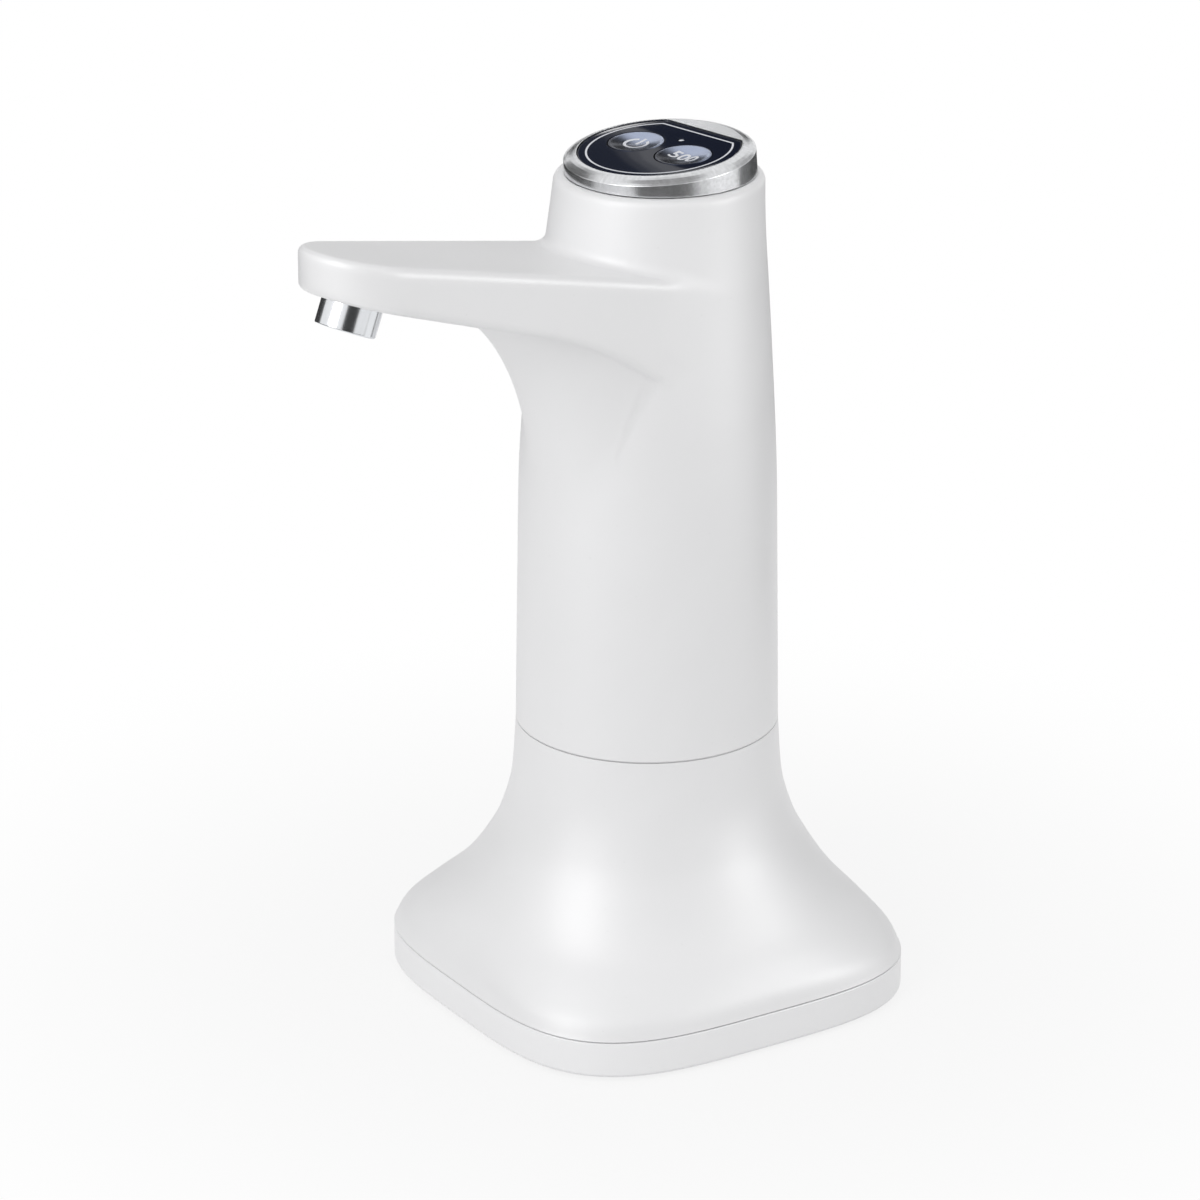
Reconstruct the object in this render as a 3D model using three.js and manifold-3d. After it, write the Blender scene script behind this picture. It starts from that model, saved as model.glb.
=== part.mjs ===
// An electric pump for a water jug: a white column with a spout arm and a two-button top,
// standing on a flared base. Lengths are millimetres and angles degrees. Z is up, and the origin
// is the centre of the base's underside. The base's sides lie along X and Y. The head turns about
// Z, and the head's own X runs out along the spout.
import * as THREE from 'three';
import { mergeVertices } from 'three/addons/utils/BufferGeometryUtils.js';
import Module from 'manifold-3d';

const wasm = await Module();
wasm.setup();

// Fits shared by all pieces
const seatGap = 0.3;
const turnGap = 0.4;
const overrun = 2;

// Facets
const squareCount = 48;
const columnCount = 40;
const tipCount = 12;
const rootCount = 4;
const roundCount = 20;
const smallCount = 8;
const hexCount = 6;
const roundTurns = [0, 30, 60, 90];
const edgeTurns = [20, 55, 90];
const filletSteps = 14;
const halvings = 30;
const parallelShares = [-1, -0.8, -0.5, 0, 0.5, 0.8, 1];
const outletHoseSteps = 26;
const inletHoseSteps = 12;
const leadSteps = 12;

// Base
const baseSide = 132;
const baseSquareness = 3.58;
const squarenessFade = 3.27;
const bandHeight = 11.55;
const padThickness = 1.5;
const padProud = 0.6;
const padBorder = 5;
const baseWall = 2.4;
const trayFloor = 2;
const lipDepth = 3;
const lipWall = 1.6;
const notchWidth = 14;
const seamHeight = 82.5;
const flareCount = 11;
const flareShares = [
  [0, 1],
  [0.063, 0.958],
  [0.147, 0.829],
  [0.26, 0.613],
  [0.401, 0.394],
  [0.57, 0.176],
  [0.767, 0.042],
  [1, 0],
];

// Screws that hold the base's tray, from below
const baseScrewSpread = 76;
const baseScrewLength = 12;
const trayBossHeight = 2.7;
const trayBossRadius = 5.2;
const shellBossRadius = 4.2;
const shellBossHeight = 29;
const headRadius = 2.9;
const headHeight = 1.5;
const shankRadius = 1.2;
const driveWidth = 1;
const driveDepth = 0.7;
const driveShare = 0.6;

// Seat of the head in the base's neck
const neckDepth = 10;
const ledgeThickness = 2.4;
const ledgeHoleRadius = 27;
const seatFlange = 2.5;
const seatSleeveWall = 2.4;
const seatLip = 1.6;
const keyLength = 5;
const keyWidth = 4;
const keyHeight = 1.4;

// Column and neck of the head
const headTurn = 11.3;
const columnRadius = 38.57;
const neckRadius = 30;
const ringOffset = 4.28;
const shoulderHeight = 247.28;
const shoulderRound = 2;
const shellWall = 2.2;
const columnShares = [
  [0, 1, 0],
  [0.15, 0.957, 0],
  [0.3, 0.905, 0.02],
  [0.45, 0.83, 0.05],
  [0.57, 0.715, 0.12],
  [0.66, 0.585, 0.24],
  [0.75, 0.43, 0.41],
  [0.83, 0.28, 0.56],
  [0.89, 0.163, 0.68],
  [0.95, 0.064, 0.84],
  [1, 0, 1],
];

// Spout arm. Its depth runs from its top to its lower crease, at the column's axis and at the tip.
const armReach = 124.3;
const armTipRadius = 18.6;
const armRootRadius = 29.8;
const armTopDrop = 25.58;
const armTopSlope = 13.1;
const armDepth = 24.4;
const armTipDepth = 14.04;
const armTopRound = 2.6;
const armCreaseRound = 1.8;
const creaseDropStart = 60;
const creaseDropSpan = 34;
const creaseDrop = 6.4;
const filletBury = 2;
const filletReach = 38;
const filletHeight = 66;
const filletFullness = 2.3;
const armSideShares = [0.2, 0.4, 0.5, 0.6, 0.7, 0.8];

// Bottom cap of the head and its screws
const capFloor = 3;
const capSkirtWall = 2.1;
const capSkirtHeight = 12.4;
const capScrewCircle = 29.5;
const capScrewLength = 11;
const capScrewTurn = 90;
const capScrewCount = 3;
const columnBossRadius = 3.2;
const columnRibWidth = 3;
const frameHeight = 112;

// Water inlet
const inletStemRadius = 4.6;
const inletFlangeRadius = 8;
const inletFlange = 2;
const inletBoreRadius = 1.6;
const inletNutRadius = 7.5;
const inletNut = 3.5;
const inletTailLength = 14;
const inletTopLength = 9;

// Hoses
const hoseRadius = 3.5;
const hoseBoreRadius = 2.5;
const hoseSides = 5;
const hoseGrip = 6;
const laneShares = [0.9, 0.7, 0.4];

// Inner frame, battery cell, pump and motor
const frameRadius = 34.5;
const frameFloor = 2.3;
const frameWeb = 2;
const frameWebWidth = 26;
const frameWebHeight = 52;
const clipWall = 1.8;
const clipHeight = 8;
const cellRadius = 9.2;
const cellLength = 65;
const cellNubRadius = 3;
const cellNub = 0.8;
const cellDistance = 17;
const pumpDistance = 14;
const pumpRadius = 13.5;
const pumpCover = 7;
const pumpBarbLength = 8;
const pumpPortRadius = 1.2;
const pumpPocketRadius = 4;
const pumpPocketDepth = 3;
const valvePlate = 2;
const valvePortCircle = 6.4;
const valvePortCount = 3;
const diaphragm = 1.5;
const diaphragmRib = 1;
const pumpHousing = 15.6;
const pumpChamberRadius = 9.6;
const pumpRoof = 2;
const pumpScrewCircle = 11.2;
const pumpScrewRadius = 0.8;
const pumpScrewHeadRadius = 1.5;
const pumpScrewHead = 1;
const pumpScrewLength = 17;
const pumpScrewTurn = 45;
const pumpScrewCount = 4;
const motorRadius = 12.2;
const motorLength = 30.8;
const motorWall = 1;
const motorEndCap = 2.7;
const motorBearingRadius = 3.4;
const shaftRadius = 1;
const armatureRadius = 9;
const armatureLength = 18;
const camRadius = 5;
const camThrow = 1;
const camHeight = 5;

// Charging socket at the back of the column
const socketRise = 8;
const shelfWidth = 16;
const shelfDepth = 13;
const shelfThickness = 2;
const chargeBoardWidth = 14;
const chargeBoardDepth = 11;
const chargeBoardThickness = 1.2;
const socketWidth = 9;
const socketDepth = 7;
const socketThickness = 3.2;
const socketWall = 0.5;
const socketRecess = 1;

// Nozzle at the spout's tip
const nozzleInset = 13.4;
const nozzleTilt = 22.8;
const nozzleRadius = 8.55;
const nozzleLength = 8.2;
const nozzleWall = 1.3;
const nozzleInside = 4.9;
const nozzleFlange = 1.2;
const nozzleFlangeBrim = 1.6;
const insertThickness = 2;
const insertHoleRadius = 0.9;
const insertHoleCircle = 4;
const insertHoleCount = 6;
const sealRadius = 0.9;
const elbowSpigot = 3.2;
const elbowPlate = 1.5;
const elbowDomeRadius = 5.4;
const elbowDome = 2;
const elbowDomeShare = 0.8;
const elbowBarbRadius = 2.2;
const elbowBarbLength = 19.5;
const elbowBarbRise = 8;
const elbowBarbHeight = 7;
const elbowBoreRadius = 1.3;

// Trim ring and control top, in a frame tilted towards the spout
const topTilt = 5.1;
const ringRadius = 27.4;
const ringBevel = 1.8;
const ringHoleRadius = 23.6;
const ringDepth = 5.21;
const gasketThickness = 0.8;
const gasketWidth = 1.5;
const shoulderHoleRadius = 24.9;
const panelThickness = 1.6;
const panelSink = 0.3;
const panelChord = 17.8;
const carrierWall = 1.9;
const carrierHeight = 9.2;
const buttonRadius = 8.1;
const buttonSpacing = 19.2;
const buttonDish = 0.9;
const buttonDishShares = [
  [0.86, 0],
  [0.65, 0.45],
  [0.34, 0.85],
  [0, 1],
];
const buttonTravel = 0.8;
const buttonFlange = 0.8;
const buttonFlangeBrim = 0.8;
const buttonStemRadius = 1.5;
const buttonClear = 0.3;
const switchSide = 6;
const switchHeight = 3.5;
const switchPlungerRadius = 1.6;
const switchPlunger = 0.8;
const boardRadius = 20.9;
const boardThickness = 1.4;
const indicatorDistance = 8.7;
const indicatorRadius = 0.9;
const leadRadius = 1;
const leadSides = 3;
const leadStraight = 6;

// Places that follow from the sizes above
const baseHalf = baseSide / 2;
const trayRoof = padThickness + seatGap;
const trayTop = trayRoof + trayFloor;
const neckInner = columnRadius - baseWall;
const ledgeTop = seamHeight - neckDepth;
const seatBottom = ledgeTop + seatGap;
const seatTop = seatBottom + seatFlange;
const capBottom = seatTop + seatGap;
const capTop = capBottom + capFloor;
const capRadius = neckInner - turnGap;
const shellBottom = seamHeight + seatGap;
const socketHeight = capBottom + capSkirtHeight + socketRise;
const topHeight = shoulderHeight + seatGap + ringDepth;
const armTopHeight = shoulderHeight - armTopDrop;
const armTipX = armReach - armTipRadius;
const nozzleDistance = armReach - nozzleInset;
const armSpread = Math.acos((armRootRadius - armTipRadius) / armTipX);
const frameTop = frameHeight + frameFloor;
const pumpBase = frameTop + seatGap;
const valveBase = pumpCover + seatGap;
const diaphragmBase = valveBase + valvePlate + seatGap;
const housingBase = diaphragmBase + diaphragm + seatGap;
const motorBase = housingBase + pumpHousing + seatGap;
const motorTop = motorBase + motorLength;
const endCapBase = motorTop + seatGap;
const panelTop = ringBevel - panelSink;
const panelBottom = panelTop - panelThickness;
const panelRadius = ringHoleRadius - seatGap;
const carrierTop = panelBottom - seatGap;
const carrierRadius = ringHoleRadius - turnGap;
const flangeTop = panelBottom - seatGap;
const stemBottom = flangeTop - buttonFlange - seatGap;
const switchTop = stemBottom - buttonTravel - buttonClear;
const boardTop = switchTop - switchPlunger - switchHeight - seatGap;
const boardBottom = boardTop - boardThickness;

// Finishes: colour, roughness and metalness
const finishes = {
  shellWhite: [0xededee, 0.3, 0],
  bandWhite: [0xf6f6f7, 0.28, 0],
  innerWhite: [0xe2e2e0, 0.5, 0],
  brushedSteel: [0xb9bbbe, 0.32, 1],
  chrome: [0xd6d8db, 0.1, 1],
  plainSteel: [0x9a9da1, 0.4, 1],
  brass: [0xc4a04c, 0.35, 1],
  navyGlass: [0x0d1526, 0.06, 0],
  buttonGlass: [0x4d5b7c, 0.12, 0],
  lightLens: [0xe9eef6, 0.2, 0],
  darkRubber: [0x2c2d30, 0.8, 0],
  clearSilicone: [0xdfe4e6, 0.45, 0],
  blackPlastic: [0x1f2124, 0.5, 0],
  circuitGreen: [0x1c5a38, 0.45, 0],
  cellBlue: [0x2b62a8, 0.35, 0],
  leadRed: [0xa32b24, 0.5, 0],
};

const radians = THREE.MathUtils.degToRad;

// Turns a closed geometry into a solid, with its faces pointing out.
function toSolid(geometry) {
  const bare = geometry.clone();
  bare.deleteAttribute('normal');
  bare.deleteAttribute('uv');
  const merged = mergeVertices(bare);
  const points = merged.getAttribute('position').array;
  const corners = merged.getIndex().array;
  const kept = [];
  let volume = 0;
  for (let i = 0; i < corners.length; i += 3) {
    const [a, b, c] = corners.slice(i, i + 3);
    if (a !== b && b !== c && c !== a) {
      kept.push(a, b, c);
      const [pa, pb, pc] = [a, b, c].map((k) => new THREE.Vector3().fromArray(points, 3 * k));
      volume += pa.dot(pb.cross(pc));
    }
  }
  if (volume < 0) {
    kept.reverse();
  }
  const vertProperties = new Float32Array(points);
  const triVerts = new Uint32Array(kept);
  return new wasm.Manifold(new wasm.Mesh({ numProp: 3, vertProperties, triVerts }));
}

function toGeometry(solid) {
  const mesh = solid.getMesh();
  const geometry = new THREE.BufferGeometry();
  geometry.setAttribute('position', new THREE.BufferAttribute(mesh.vertProperties, 3));
  geometry.setIndex(new THREE.BufferAttribute(mesh.triVerts, 1));
  geometry.computeVertexNormals();
  return geometry;
}

function addPiece(parent, name, solid, finish) {
  const [color, roughness, metalness] = finishes[finish];
  const material = new THREE.MeshStandardMaterial({ color, roughness, metalness });
  const mesh = new THREE.Mesh(toGeometry(solid), material);
  mesh.name = name;
  parent.add(mesh);
  return mesh;
}

// Joins rings of equal count, listed upwards and each counter-clockwise, into one closed skin.
function loft(rings, capped = true) {
  const count = rings[0].length;
  const points = rings.flat();
  const index = [];
  for (let r = 0; r + 1 < rings.length; r++) {
    for (let i = 0; i < count; i++) {
      const next = (i + 1) % count;
      const [a, b] = [r * count + i, r * count + next];
      index.push(a, b, b + count, a, b + count, a + count);
    }
  }
  if (capped) {
    const last = (rings.length - 1) * count;
    for (let i = 1; i + 1 < count; i++) {
      index.push(0, i + 1, i, last, last + i, last + i + 1);
    }
  }
  const geometry = new THREE.BufferGeometry().setFromPoints(points);
  geometry.setIndex(index);
  return toSolid(geometry);
}

// A ring that runs from a circle, at exponent 2, towards a square.
function squircleRing(half, exponent, z) {
  return Array.from({ length: squareCount }, (_, i) => {
    const turn = (2 * Math.PI * i) / squareCount;
    const [c, s] = [Math.cos(turn), Math.sin(turn)];
    const reach = half / (Math.abs(c) ** exponent + Math.abs(s) ** exponent) ** (1 / exponent);
    return new THREE.Vector3(reach * c, reach * s, z);
  });
}

function circleRing(radius, x, z) {
  return Array.from({ length: columnCount }, (_, i) => {
    const turn = (2 * Math.PI * i) / columnCount;
    return new THREE.Vector3(x + radius * Math.cos(turn), radius * Math.sin(turn), z);
  });
}

// A turned body about Z from radius and height pairs. It closes on the axis or on itself.
function turned(profile, count = roundCount) {
  const points = profile.map(([radius, height]) => new THREE.Vector2(radius, height));
  const geometry = new THREE.LatheGeometry(points, count);
  geometry.rotateX(Math.PI / 2);
  return geometry;
}

function rod(radius, low, high, count = roundCount) {
  return turned([[0, low], [radius, low], [radius, high], [0, high]], count);
}

function washer(inner, outer, low, high, count = roundCount) {
  return turned([[inner, low], [outer, low], [outer, high], [inner, high], [inner, low]], count);
}

function block(low, high) {
  const size = high.map((value, axis) => value - low[axis]);
  const geometry = new THREE.BoxGeometry(...size);
  geometry.translate(...low.map((value, axis) => value + size[axis] / 2));
  return geometry;
}

// A tube along a smooth curve, hollow where a bore is given.
function tube(points, radius, sides, steps, bore = 0) {
  const shape = new THREE.Shape().absarc(0, 0, radius, 0, 2 * Math.PI);
  if (bore > 0) {
    shape.holes.push(new THREE.Path().absarc(0, 0, bore, 0, 2 * Math.PI));
  }
  const extrudePath = new THREE.CatmullRomCurve3(points, false, 'centripetal');
  const geometry = new THREE.ExtrudeGeometry(shape, { steps, extrudePath, curveSegments: sides });
  return toSolid(geometry);
}

function joined(...solids) {
  return solids.reduce((whole, solid) => whole.add(solid));
}

function cut(solid, ...tools) {
  return tools.reduce((rest, tool) => rest.subtract(tool), solid);
}

function placed(geometry, x, y, z) {
  return toSolid(geometry.clone().translate(x, y, z));
}

// Places on a circle about Z.
function circlePlaces(radius, count, startTurn) {
  return Array.from({ length: count }, (_, i) => {
    const turn = radians(startTurn + (360 * i) / count);
    return [radius * Math.cos(turn), radius * Math.sin(turn)];
  });
}

// A pan-head screw with a cross slot, its head downwards from height zero and its shank upwards.
function screw(radius, brim, height, length) {
  const body = toSolid(turned([
    [0, 0], [brim, 0], [brim, height], [radius, height], [radius, length], [0, length],
  ], smallCount));
  const half = driveWidth / 2;
  const reach = brim * driveShare;
  const slots = [[reach, half], [half, reach]].map(([x, y]) => toSolid(
    block([-x, -y, -overrun], [x, y, Math.min(driveDepth, height / 2)]),
  ));
  return cut(body, ...slots);
}

// Base
const baseScrewPlaces = [[1, 1], [-1, 1], [-1, -1], [1, -1]].map(
  (signs) => signs.map((sign) => (sign * baseScrewSpread) / 2),
);

function basePrism(half, low, high) {
  return loft([low, high].map((z) => squircleRing(half, baseSquareness, z)));
}

function notchTool() {
  const half = notchWidth / 2;
  return toSolid(block([-baseHalf - overrun, -half, trayTop], [-baseHalf / 2, half, bandHeight]));
}

function footPad() {
  return basePrism(baseHalf - padBorder, 0, padThickness);
}

function baseTray() {
  const outer = basePrism(baseHalf, padProud, bandHeight);
  const hollow = basePrism(baseHalf - baseWall, trayTop, bandHeight + overrun);
  const recess = basePrism(baseHalf - padBorder + seatGap, padProud - overrun, trayRoof);
  let tray = cut(outer, hollow, recess);
  const boss = rod(trayBossRadius, trayTop - trayFloor / 2, trayTop + trayBossHeight);
  const pocket = rod(headRadius + seatGap, trayRoof - overrun, trayRoof + headHeight + seatGap);
  const hole = rod(shankRadius + seatGap, 0, trayTop + trayBossHeight + overrun, smallCount);
  for (const [x, y] of baseScrewPlaces) {
    tray = joined(tray, placed(boss, x, y, 0));
    tray = cut(tray, placed(pocket, x, y, 0), placed(hole, x, y, 0));
  }
  return cut(tray, notchTool());
}

// The flare's outline as points of half side and height, and its squareness at a half side.
function flareOutline() {
  const low = bandHeight + seatGap;
  const points = flareShares.map(([rise, spread]) => new THREE.Vector3(
    columnRadius + (baseHalf - columnRadius) * spread,
    0,
    low + (seamHeight - low) * rise,
  ));
  const curve = new THREE.CatmullRomCurve3(points, false, 'centripetal');
  return Array.from({ length: flareCount }, (_, i) => {
    const share = i / (flareCount - 1);
    const point = curve.getPointAt(share);
    const along = curve.getTangentAt(share);
    return { half: point.x, z: point.z, along };
  });
}

function flareSquareness(half) {
  const spread = Math.max(0, (half - columnRadius) / (baseHalf - columnRadius));
  return 2 + (baseSquareness - 2) * Math.min(1, spread) ** squarenessFade;
}

function flareLoft(inset) {
  const outline = flareOutline();
  const rings = outline.map(({ half, z, along }) => squircleRing(
    half - inset * along.z,
    flareSquareness(half),
    z + inset * along.x,
  ));
  if (inset > 0) {
    const [first] = outline;
    const last = outline.at(-1);
    rings[0] = squircleRing(first.half - inset, flareSquareness(first.half), first.z - overrun);
    rings.push(squircleRing(last.half - inset, flareSquareness(last.half), last.z + overrun));
  }
  return loft(rings);
}

function baseShell() {
  const outer = flareLoft(0);
  let shell = cut(outer, flareLoft(baseWall));
  const ledge = washer(
    ledgeHoleRadius, neckInner + baseWall / 2, ledgeTop - ledgeThickness, ledgeTop, columnCount,
  );
  shell = joined(shell, toSolid(ledge));
  const lipHalf = baseHalf - baseWall - seatGap;
  const lipLow = bandHeight - lipDepth;
  const lipHigh = bandHeight + seatGap + lipWall;
  const lip = cut(
    basePrism(lipHalf, lipLow, lipHigh),
    basePrism(lipHalf - lipWall, lipLow - overrun, lipHigh + overrun),
  );
  shell = joined(shell, lip);
  const bossLow = trayTop + trayBossHeight + seatGap;
  const boss = rod(shellBossRadius, bossLow, bossLow + shellBossHeight, smallCount);
  const skirt = basePrism(baseHalf - baseWall, bossLow - overrun, bandHeight + seatGap);
  const room = joined(outer, skirt);
  const screwTop = trayRoof + seatGap + baseScrewLength + overrun;
  const hole = rod(shankRadius + seatGap, bossLow - overrun, screwTop, smallCount);
  for (const [x, y] of baseScrewPlaces) {
    shell = joined(shell, placed(boss, x, y, 0).intersect(room));
    shell = cut(shell, placed(hole, x, y, 0));
  }
  return cut(shell, notchTool());
}

// Seat ring: a flange on the base's ledge, a sleeve through it and a lip that holds it there.
function seatRing() {
  const sleeve = ledgeHoleRadius - turnGap;
  const bore = sleeve - seatSleeveWall;
  const lipTop = ledgeTop - ledgeThickness - seatGap;
  const ring = toSolid(turned([
    [bore, lipTop - seatLip],
    [sleeve + seatLip, lipTop - seatLip],
    [sleeve + seatLip, lipTop],
    [sleeve, lipTop],
    [sleeve, seatBottom],
    [neckInner - turnGap, seatBottom],
    [neckInner - turnGap, seatTop],
    [bore, seatTop],
    [bore, lipTop - seatLip],
  ], columnCount));
  return joined(ring, ...keyBlocks(0, seatTop - seatFlange / 2, seatTop + keyHeight));
}

function keyBlocks(clearance, low, high) {
  const middle = (neckInner + ledgeHoleRadius) / 2;
  return [1, -1].map((side) => toSolid(block(
    [side * middle - keyLength / 2 - clearance, -keyWidth / 2 - clearance, low],
    [side * middle + keyLength / 2 + clearance, keyWidth / 2 + clearance, high],
  )));
}

// Column, as circles whose centres move back towards the top
function columnPlaces() {
  const points = columnShares.map(([rise, girth, back]) => new THREE.Vector3(
    neckRadius + (columnRadius - neckRadius) * girth,
    -ringOffset * back,
    shellBottom + (shoulderHeight - shellBottom) * rise,
  ));
  return points.map((point) => ({ radius: point.x, x: point.y, z: point.z }));
}

function columnLoft(inset) {
  const places = columnPlaces();
  const top = places.at(-1);
  const rings = places.slice(0, -1).map(({ radius, x, z }) => circleRing(radius - inset, x, z));
  if (inset > 0) {
    const [foot] = places;
    rings[0] = circleRing(foot.radius - inset, foot.x, foot.z - overrun);
    rings.push(circleRing(top.radius - inset, top.x, top.z - inset));
  } else {
    for (const turn of roundTurns.map(radians)) {
      const reach = top.radius - shoulderRound * (1 - Math.cos(turn));
      rings.push(circleRing(reach, top.x, top.z - shoulderRound * (1 - Math.sin(turn))));
    }
  }
  return loft(rings);
}

// Spout arm. Its plan is the hull of a root circle on the axis and a smaller tip circle, so each
// point of the outline has a spine point, a bearing and a radius.
function armOutline() {
  const outline = [];
  for (let i = 0; i <= tipCount; i++) {
    outline.push({ spine: armTipX, turn: armSpread * ((2 * i) / tipCount - 1), radius: armTipRadius });
  }
  for (const share of armSideShares) {
    const radius = armTipRadius + (armRootRadius - armTipRadius) * share;
    outline.push({ spine: armTipX * (1 - share), turn: armSpread, radius });
  }
  for (let i = 0; i <= rootCount; i++) {
    const turn = armSpread + 2 * (Math.PI - armSpread) * (i / rootCount);
    outline.push({ spine: 0, turn, radius: armRootRadius });
  }
  for (const share of armSideShares.toReversed()) {
    const radius = armTipRadius + (armRootRadius - armTipRadius) * share;
    outline.push({ spine: armTipX * (1 - share), turn: -armSpread, radius });
  }
  return outline;
}

function armTop(x) {
  return armTopHeight + x * Math.tan(radians(armTopSlope));
}

function armCrease(x) {
  const past = Math.max(0, creaseDropStart - x) / creaseDropSpan;
  const depth = armDepth - (x * (armDepth - armTipDepth)) / armTipX;
  return armTop(x) - depth - creaseDrop * past ** 2;
}

// The least depth of a curve's parallel, a wall to its inner side.
function parallel(curve, at, wall) {
  return Math.min(...parallelShares.map(
    (share) => curve(at + share * wall) - wall * Math.sqrt(1 - share ** 2),
  ));
}

function armLoft(inset) {
  const outline = armOutline();
  const ring = (shrink, inward, height) => outline.map(({ spine, turn, radius }) => {
    const reach = (radius - inset - inward) * shrink;
    const x = spine + reach * Math.cos(turn);
    return new THREE.Vector3(x, reach * Math.sin(turn), height(x));
  });
  const crease = (x) => -parallel((at) => -armCrease(at), x, inset);
  const over = (x) => parallel(armTop, x, inset);
  const lowRound = inset > 0 ? 0 : armCreaseRound;
  const highRound = inset > 0 ? 0 : armTopRound;
  const rings = [ring(0, 0, crease)];
  const turns = (inset > 0 ? [0] : edgeTurns).map(radians);
  for (const turn of turns) {
    const inward = lowRound * (1 - Math.sin(turn));
    rings.push(ring(1, inward, (x) => crease(x) + lowRound * (1 - Math.cos(turn))));
  }
  for (const turn of turns.toReversed()) {
    const inward = highRound * (1 - Math.sin(turn));
    rings.push(ring(1, inward, (x) => over(x) - highRound * (1 - Math.cos(turn))));
  }
  rings.push(ring(0, 0, over));
  return loft(rings, false);
}

// Fillet from the arm's underside down to the column's front. Across the arm it fades to nothing
// at the crease, and its root is a half width at the axis.
function filletUnderside(x, y, root) {
  const out = Math.hypot(x, y) - columnRadius + filletBury;
  const along = THREE.MathUtils.clamp(out / filletReach, 0, 1);
  const hollow = (1 - (1 - along) ** filletFullness) ** (1 / filletFullness);
  const half = (root - x * Math.cos(armSpread)) / Math.sin(armSpread);
  const across = Math.min(1, Math.abs(y) / half);
  return armCrease(x) - filletHeight * (1 - hollow) * (1 - across ** 2);
}

// How far from the axis the fillet stands at a bearing and a height.
function filletDistance(turn, z, root) {
  let [near, far] = [0, armTipX];
  for (let i = 0; i < halvings; i++) {
    const middle = (near + far) / 2;
    if (filletUnderside(middle * Math.cos(turn), middle * Math.sin(turn), root) < z) {
      near = middle;
    } else {
      far = middle;
    }
  }
  return near;
}

function filletLoft(inset) {
  const root = armRootRadius - armCreaseRound;
  const front = Array.from(
    { length: columnCount + 1 },
    (_, i) => (Math.PI * i) / columnCount - Math.PI / 2,
  );
  const back = Array.from(
    { length: rootCount - 1 },
    (_, i) => Math.PI / 2 + (Math.PI * (i + 1)) / rootCount,
  );
  const heights = Array.from({ length: filletSteps }, (_, i) => {
    const turn = (Math.PI * i) / (2 * filletSteps);
    const along = 1 - Math.cos(turn) ** (2 / filletFullness);
    return filletUnderside(columnRadius - filletBury + filletReach * along, 0, root);
  });
  return loft(heights.map((z) => [...front, ...back].map((turn) => {
    const side = (root - inset) / Math.cos(Math.min(0, Math.abs(turn) - armSpread));
    const distance = parallel((at) => filletDistance(turn, at, root), z, inset);
    const reach = Math.min(side, distance);
    return new THREE.Vector3(reach * Math.cos(turn), reach * Math.sin(turn), z);
  })));
}

// Places in the nozzle's own frame, which lies on the underside with its Z up the nozzle's axis.
const nozzleFrame = new THREE.Group();
nozzleFrame.position.set(nozzleDistance, 0, armCrease(nozzleDistance));
nozzleFrame.rotation.y = -radians(nozzleTilt);
nozzleFrame.updateMatrix();

function fromNozzle(x, z) {
  return new THREE.Vector3(x, 0, z).applyMatrix4(nozzleFrame.matrix);
}

const capScrewPlaces = circlePlaces(capScrewCircle, capScrewCount, capScrewTurn);

function columnBoss(x, y) {
  const turn = Math.atan2(y, x);
  const top = frameHeight - seatGap;
  const post = placed(rod(columnBossRadius, capTop + seatGap, top, smallCount), x, y, 0);
  const skirtTop = capBottom + capSkirtHeight + seatGap;
  const rib = block(
    [capScrewCircle, -columnRibWidth / 2, skirtTop],
    [columnRadius, columnRibWidth / 2, top],
  );
  rib.rotateZ(turn);
  const low = capTop + seatGap - overrun;
  const hole = placed(rod(shankRadius + seatGap, low, low + capScrewLength, smallCount), x, y, 0);
  return cut(joined(post, toSolid(rib)), hole);
}

function bodyShell() {
  const outer = joined(columnLoft(0), armLoft(0), filletLoft(0));
  const inner = joined(columnLoft(shellWall), armLoft(shellWall), filletLoft(shellWall));
  const inside = joined(outer, toSolid(rod(capScrewCircle + columnBossRadius, capTop, shellBottom)));
  let shell = cut(outer, inner);
  for (const [x, y] of capScrewPlaces) {
    shell = joined(shell, columnBoss(x, y).intersect(inside));
  }
  const shelf = block(
    [-columnRadius, -shelfWidth / 2, socketHeight - shelfThickness],
    [-columnRadius + shellWall + shelfDepth, shelfWidth / 2, socketHeight],
  );
  shell = joined(shell, toSolid(shelf).intersect(outer));
  const opening = rod(
    shoulderHoleRadius, shoulderHeight - shellWall - overrun, topHeight, columnCount,
  );
  const rebate = rod(
    shoulderHoleRadius + gasketWidth + seatGap,
    shoulderHeight - gasketThickness - seatGap,
    topHeight,
    columnCount,
  );
  const tip = rod(nozzleRadius + seatGap, -overrun, nozzleInside, roundCount);
  tip.applyMatrix4(nozzleFrame.matrix);
  const socketLow = socketHeight + chargeBoardThickness + seatGap;
  const port = block(
    [-columnRadius - overrun, -socketWidth / 2 - seatGap, socketLow],
    [-columnRadius + shelfDepth, socketWidth / 2 + seatGap, socketLow + socketThickness + 2 * seatGap],
  );
  return cut(
    shell,
    placed(opening, -ringOffset, 0, 0),
    placed(rebate, -ringOffset, 0, 0),
    toSolid(tip),
    toSolid(port),
  );
}

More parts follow.
